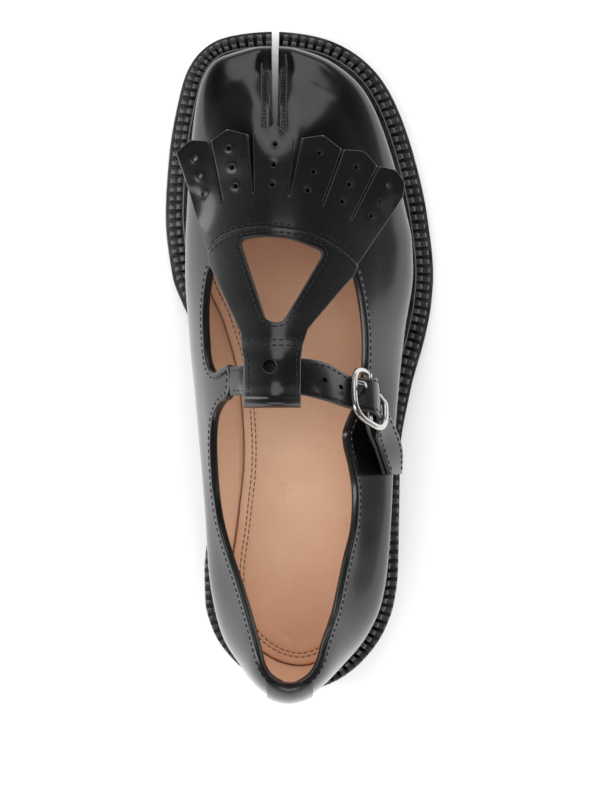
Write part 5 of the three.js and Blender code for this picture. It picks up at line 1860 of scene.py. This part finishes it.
def studio_world():
    """Even white light; what shines back from the ceiling is darker than from the walls."""
    world = bpy.data.worlds.new("studio")
    world.use_nodes = True
    nodes = Nodes(world.node_tree)
    backdrop = world.node_tree.nodes["Background"]
    direction = nodes.add("ShaderNodeTexCoord").outputs["Generated"]
    up = nodes.add("ShaderNodeSeparateXYZ", Vector=direction)
    shine = nodes.add("ShaderNodeValToRGB", Fac=up.outputs["Z"])
    stops = shine.color_ramp.elements
    while len(stops) < len(SHINE):
        stops.new(0.5)
    for stop, (height, light) in zip(stops, SHINE):
        stop.position = height
        stop.color = (light, light, light, 1)
    room = shine.outputs["Color"]
    glossy = nodes.add("ShaderNodeLightPath").outputs["Is Glossy Ray"]
    change = nodes.math("MULTIPLY", glossy, nodes.math("SUBTRACT", room, ROOM_LIGHT))
    strength = nodes.math("ADD", change, ROOM_LIGHT)
    nodes.feed(backdrop.inputs["Strength"], strength)
    backdrop.inputs["Color"].default_value = (1, 1, 1, 1)
    return world


class SHOE_OT_stage(bpy.types.Operator):
    """Pale floor, soft studio light and the camera"""
    bl_idname = "shoe.stage"
    bl_label = "Stage"

    def execute(self, context):
        scene = context.scene
        corners = [(x * FLOOR_SIDE, y * FLOOR_SIDE, 0) for x, y in ((-1, -1), (1, -1), (1, 1), (-1, 1))]
        mesh = bpy.data.meshes.new("floor")
        mesh.from_pydata(corners, [], [(0, 1, 2, 3)])
        mesh.materials.append(floor_material(tuple(scene.shoe_colours.card)))
        floor = bpy.data.objects.new("floor", mesh)
        context.collection.objects.link(floor)
        camera = bpy.data.cameras.new("camera")
        camera.lens = CAMERA_LENS
        eye = bpy.data.objects.new("camera", camera)
        eye.location = (0, CAMERA_Y, CAMERA_HEIGHT)
        context.collection.objects.link(eye)
        scene.camera = eye
        for lamp in LAMPS:
            soft_box(*lamp)
        scene.world = studio_world()
        scene.view_settings.view_transform = "Standard"
        return {"FINISHED"}


class SHOE_PT_panel(bpy.types.Panel):
    """Lists the shoe's pieces and sizes"""
    bl_idname = "SHOE_PT_panel"
    bl_label = "Shoe"
    bl_space_type = "VIEW_3D"
    bl_region_type = "UI"
    bl_category = "Shoe"

    def draw(self, context):
        for settings in (context.scene.shoe_sizes, context.scene.shoe_colours):
            for name in settings.__annotations__:
                self.layout.prop(settings, name)
        for operator in OPERATORS:
            self.layout.operator(operator.bl_idname)


OPERATORS = (
    SHOE_OT_stage, SHOE_OT_sole, SHOE_OT_welt, SHOE_OT_insole, SHOE_OT_upper, SHOE_OT_toe_split,
    SHOE_OT_back_strip, SHOE_OT_kiltie, SHOE_OT_y_strap, SHOE_OT_ankle_strap, SHOE_OT_buckle,
)
CLASSES = (ShoeSizes, ShoeColours, *OPERATORS, SHOE_PT_panel)


def register():
    for entry in CLASSES:
        bpy.utils.register_class(entry)
    bpy.types.Scene.shoe_sizes = bpy.props.PointerProperty(type=ShoeSizes)
    bpy.types.Scene.shoe_colours = bpy.props.PointerProperty(type=ShoeColours)


def unregister():
    del bpy.types.Scene.shoe_colours
    del bpy.types.Scene.shoe_sizes
    for entry in reversed(CLASSES):
        bpy.utils.unregister_class(entry)


def main():
    register()
    grain_group()
    wear_group()
    for operator in OPERATORS:
        family, name = operator.bl_idname.split(".")
        getattr(getattr(bpy.ops, family), name)()


if __name__ == "__main__":
    main()
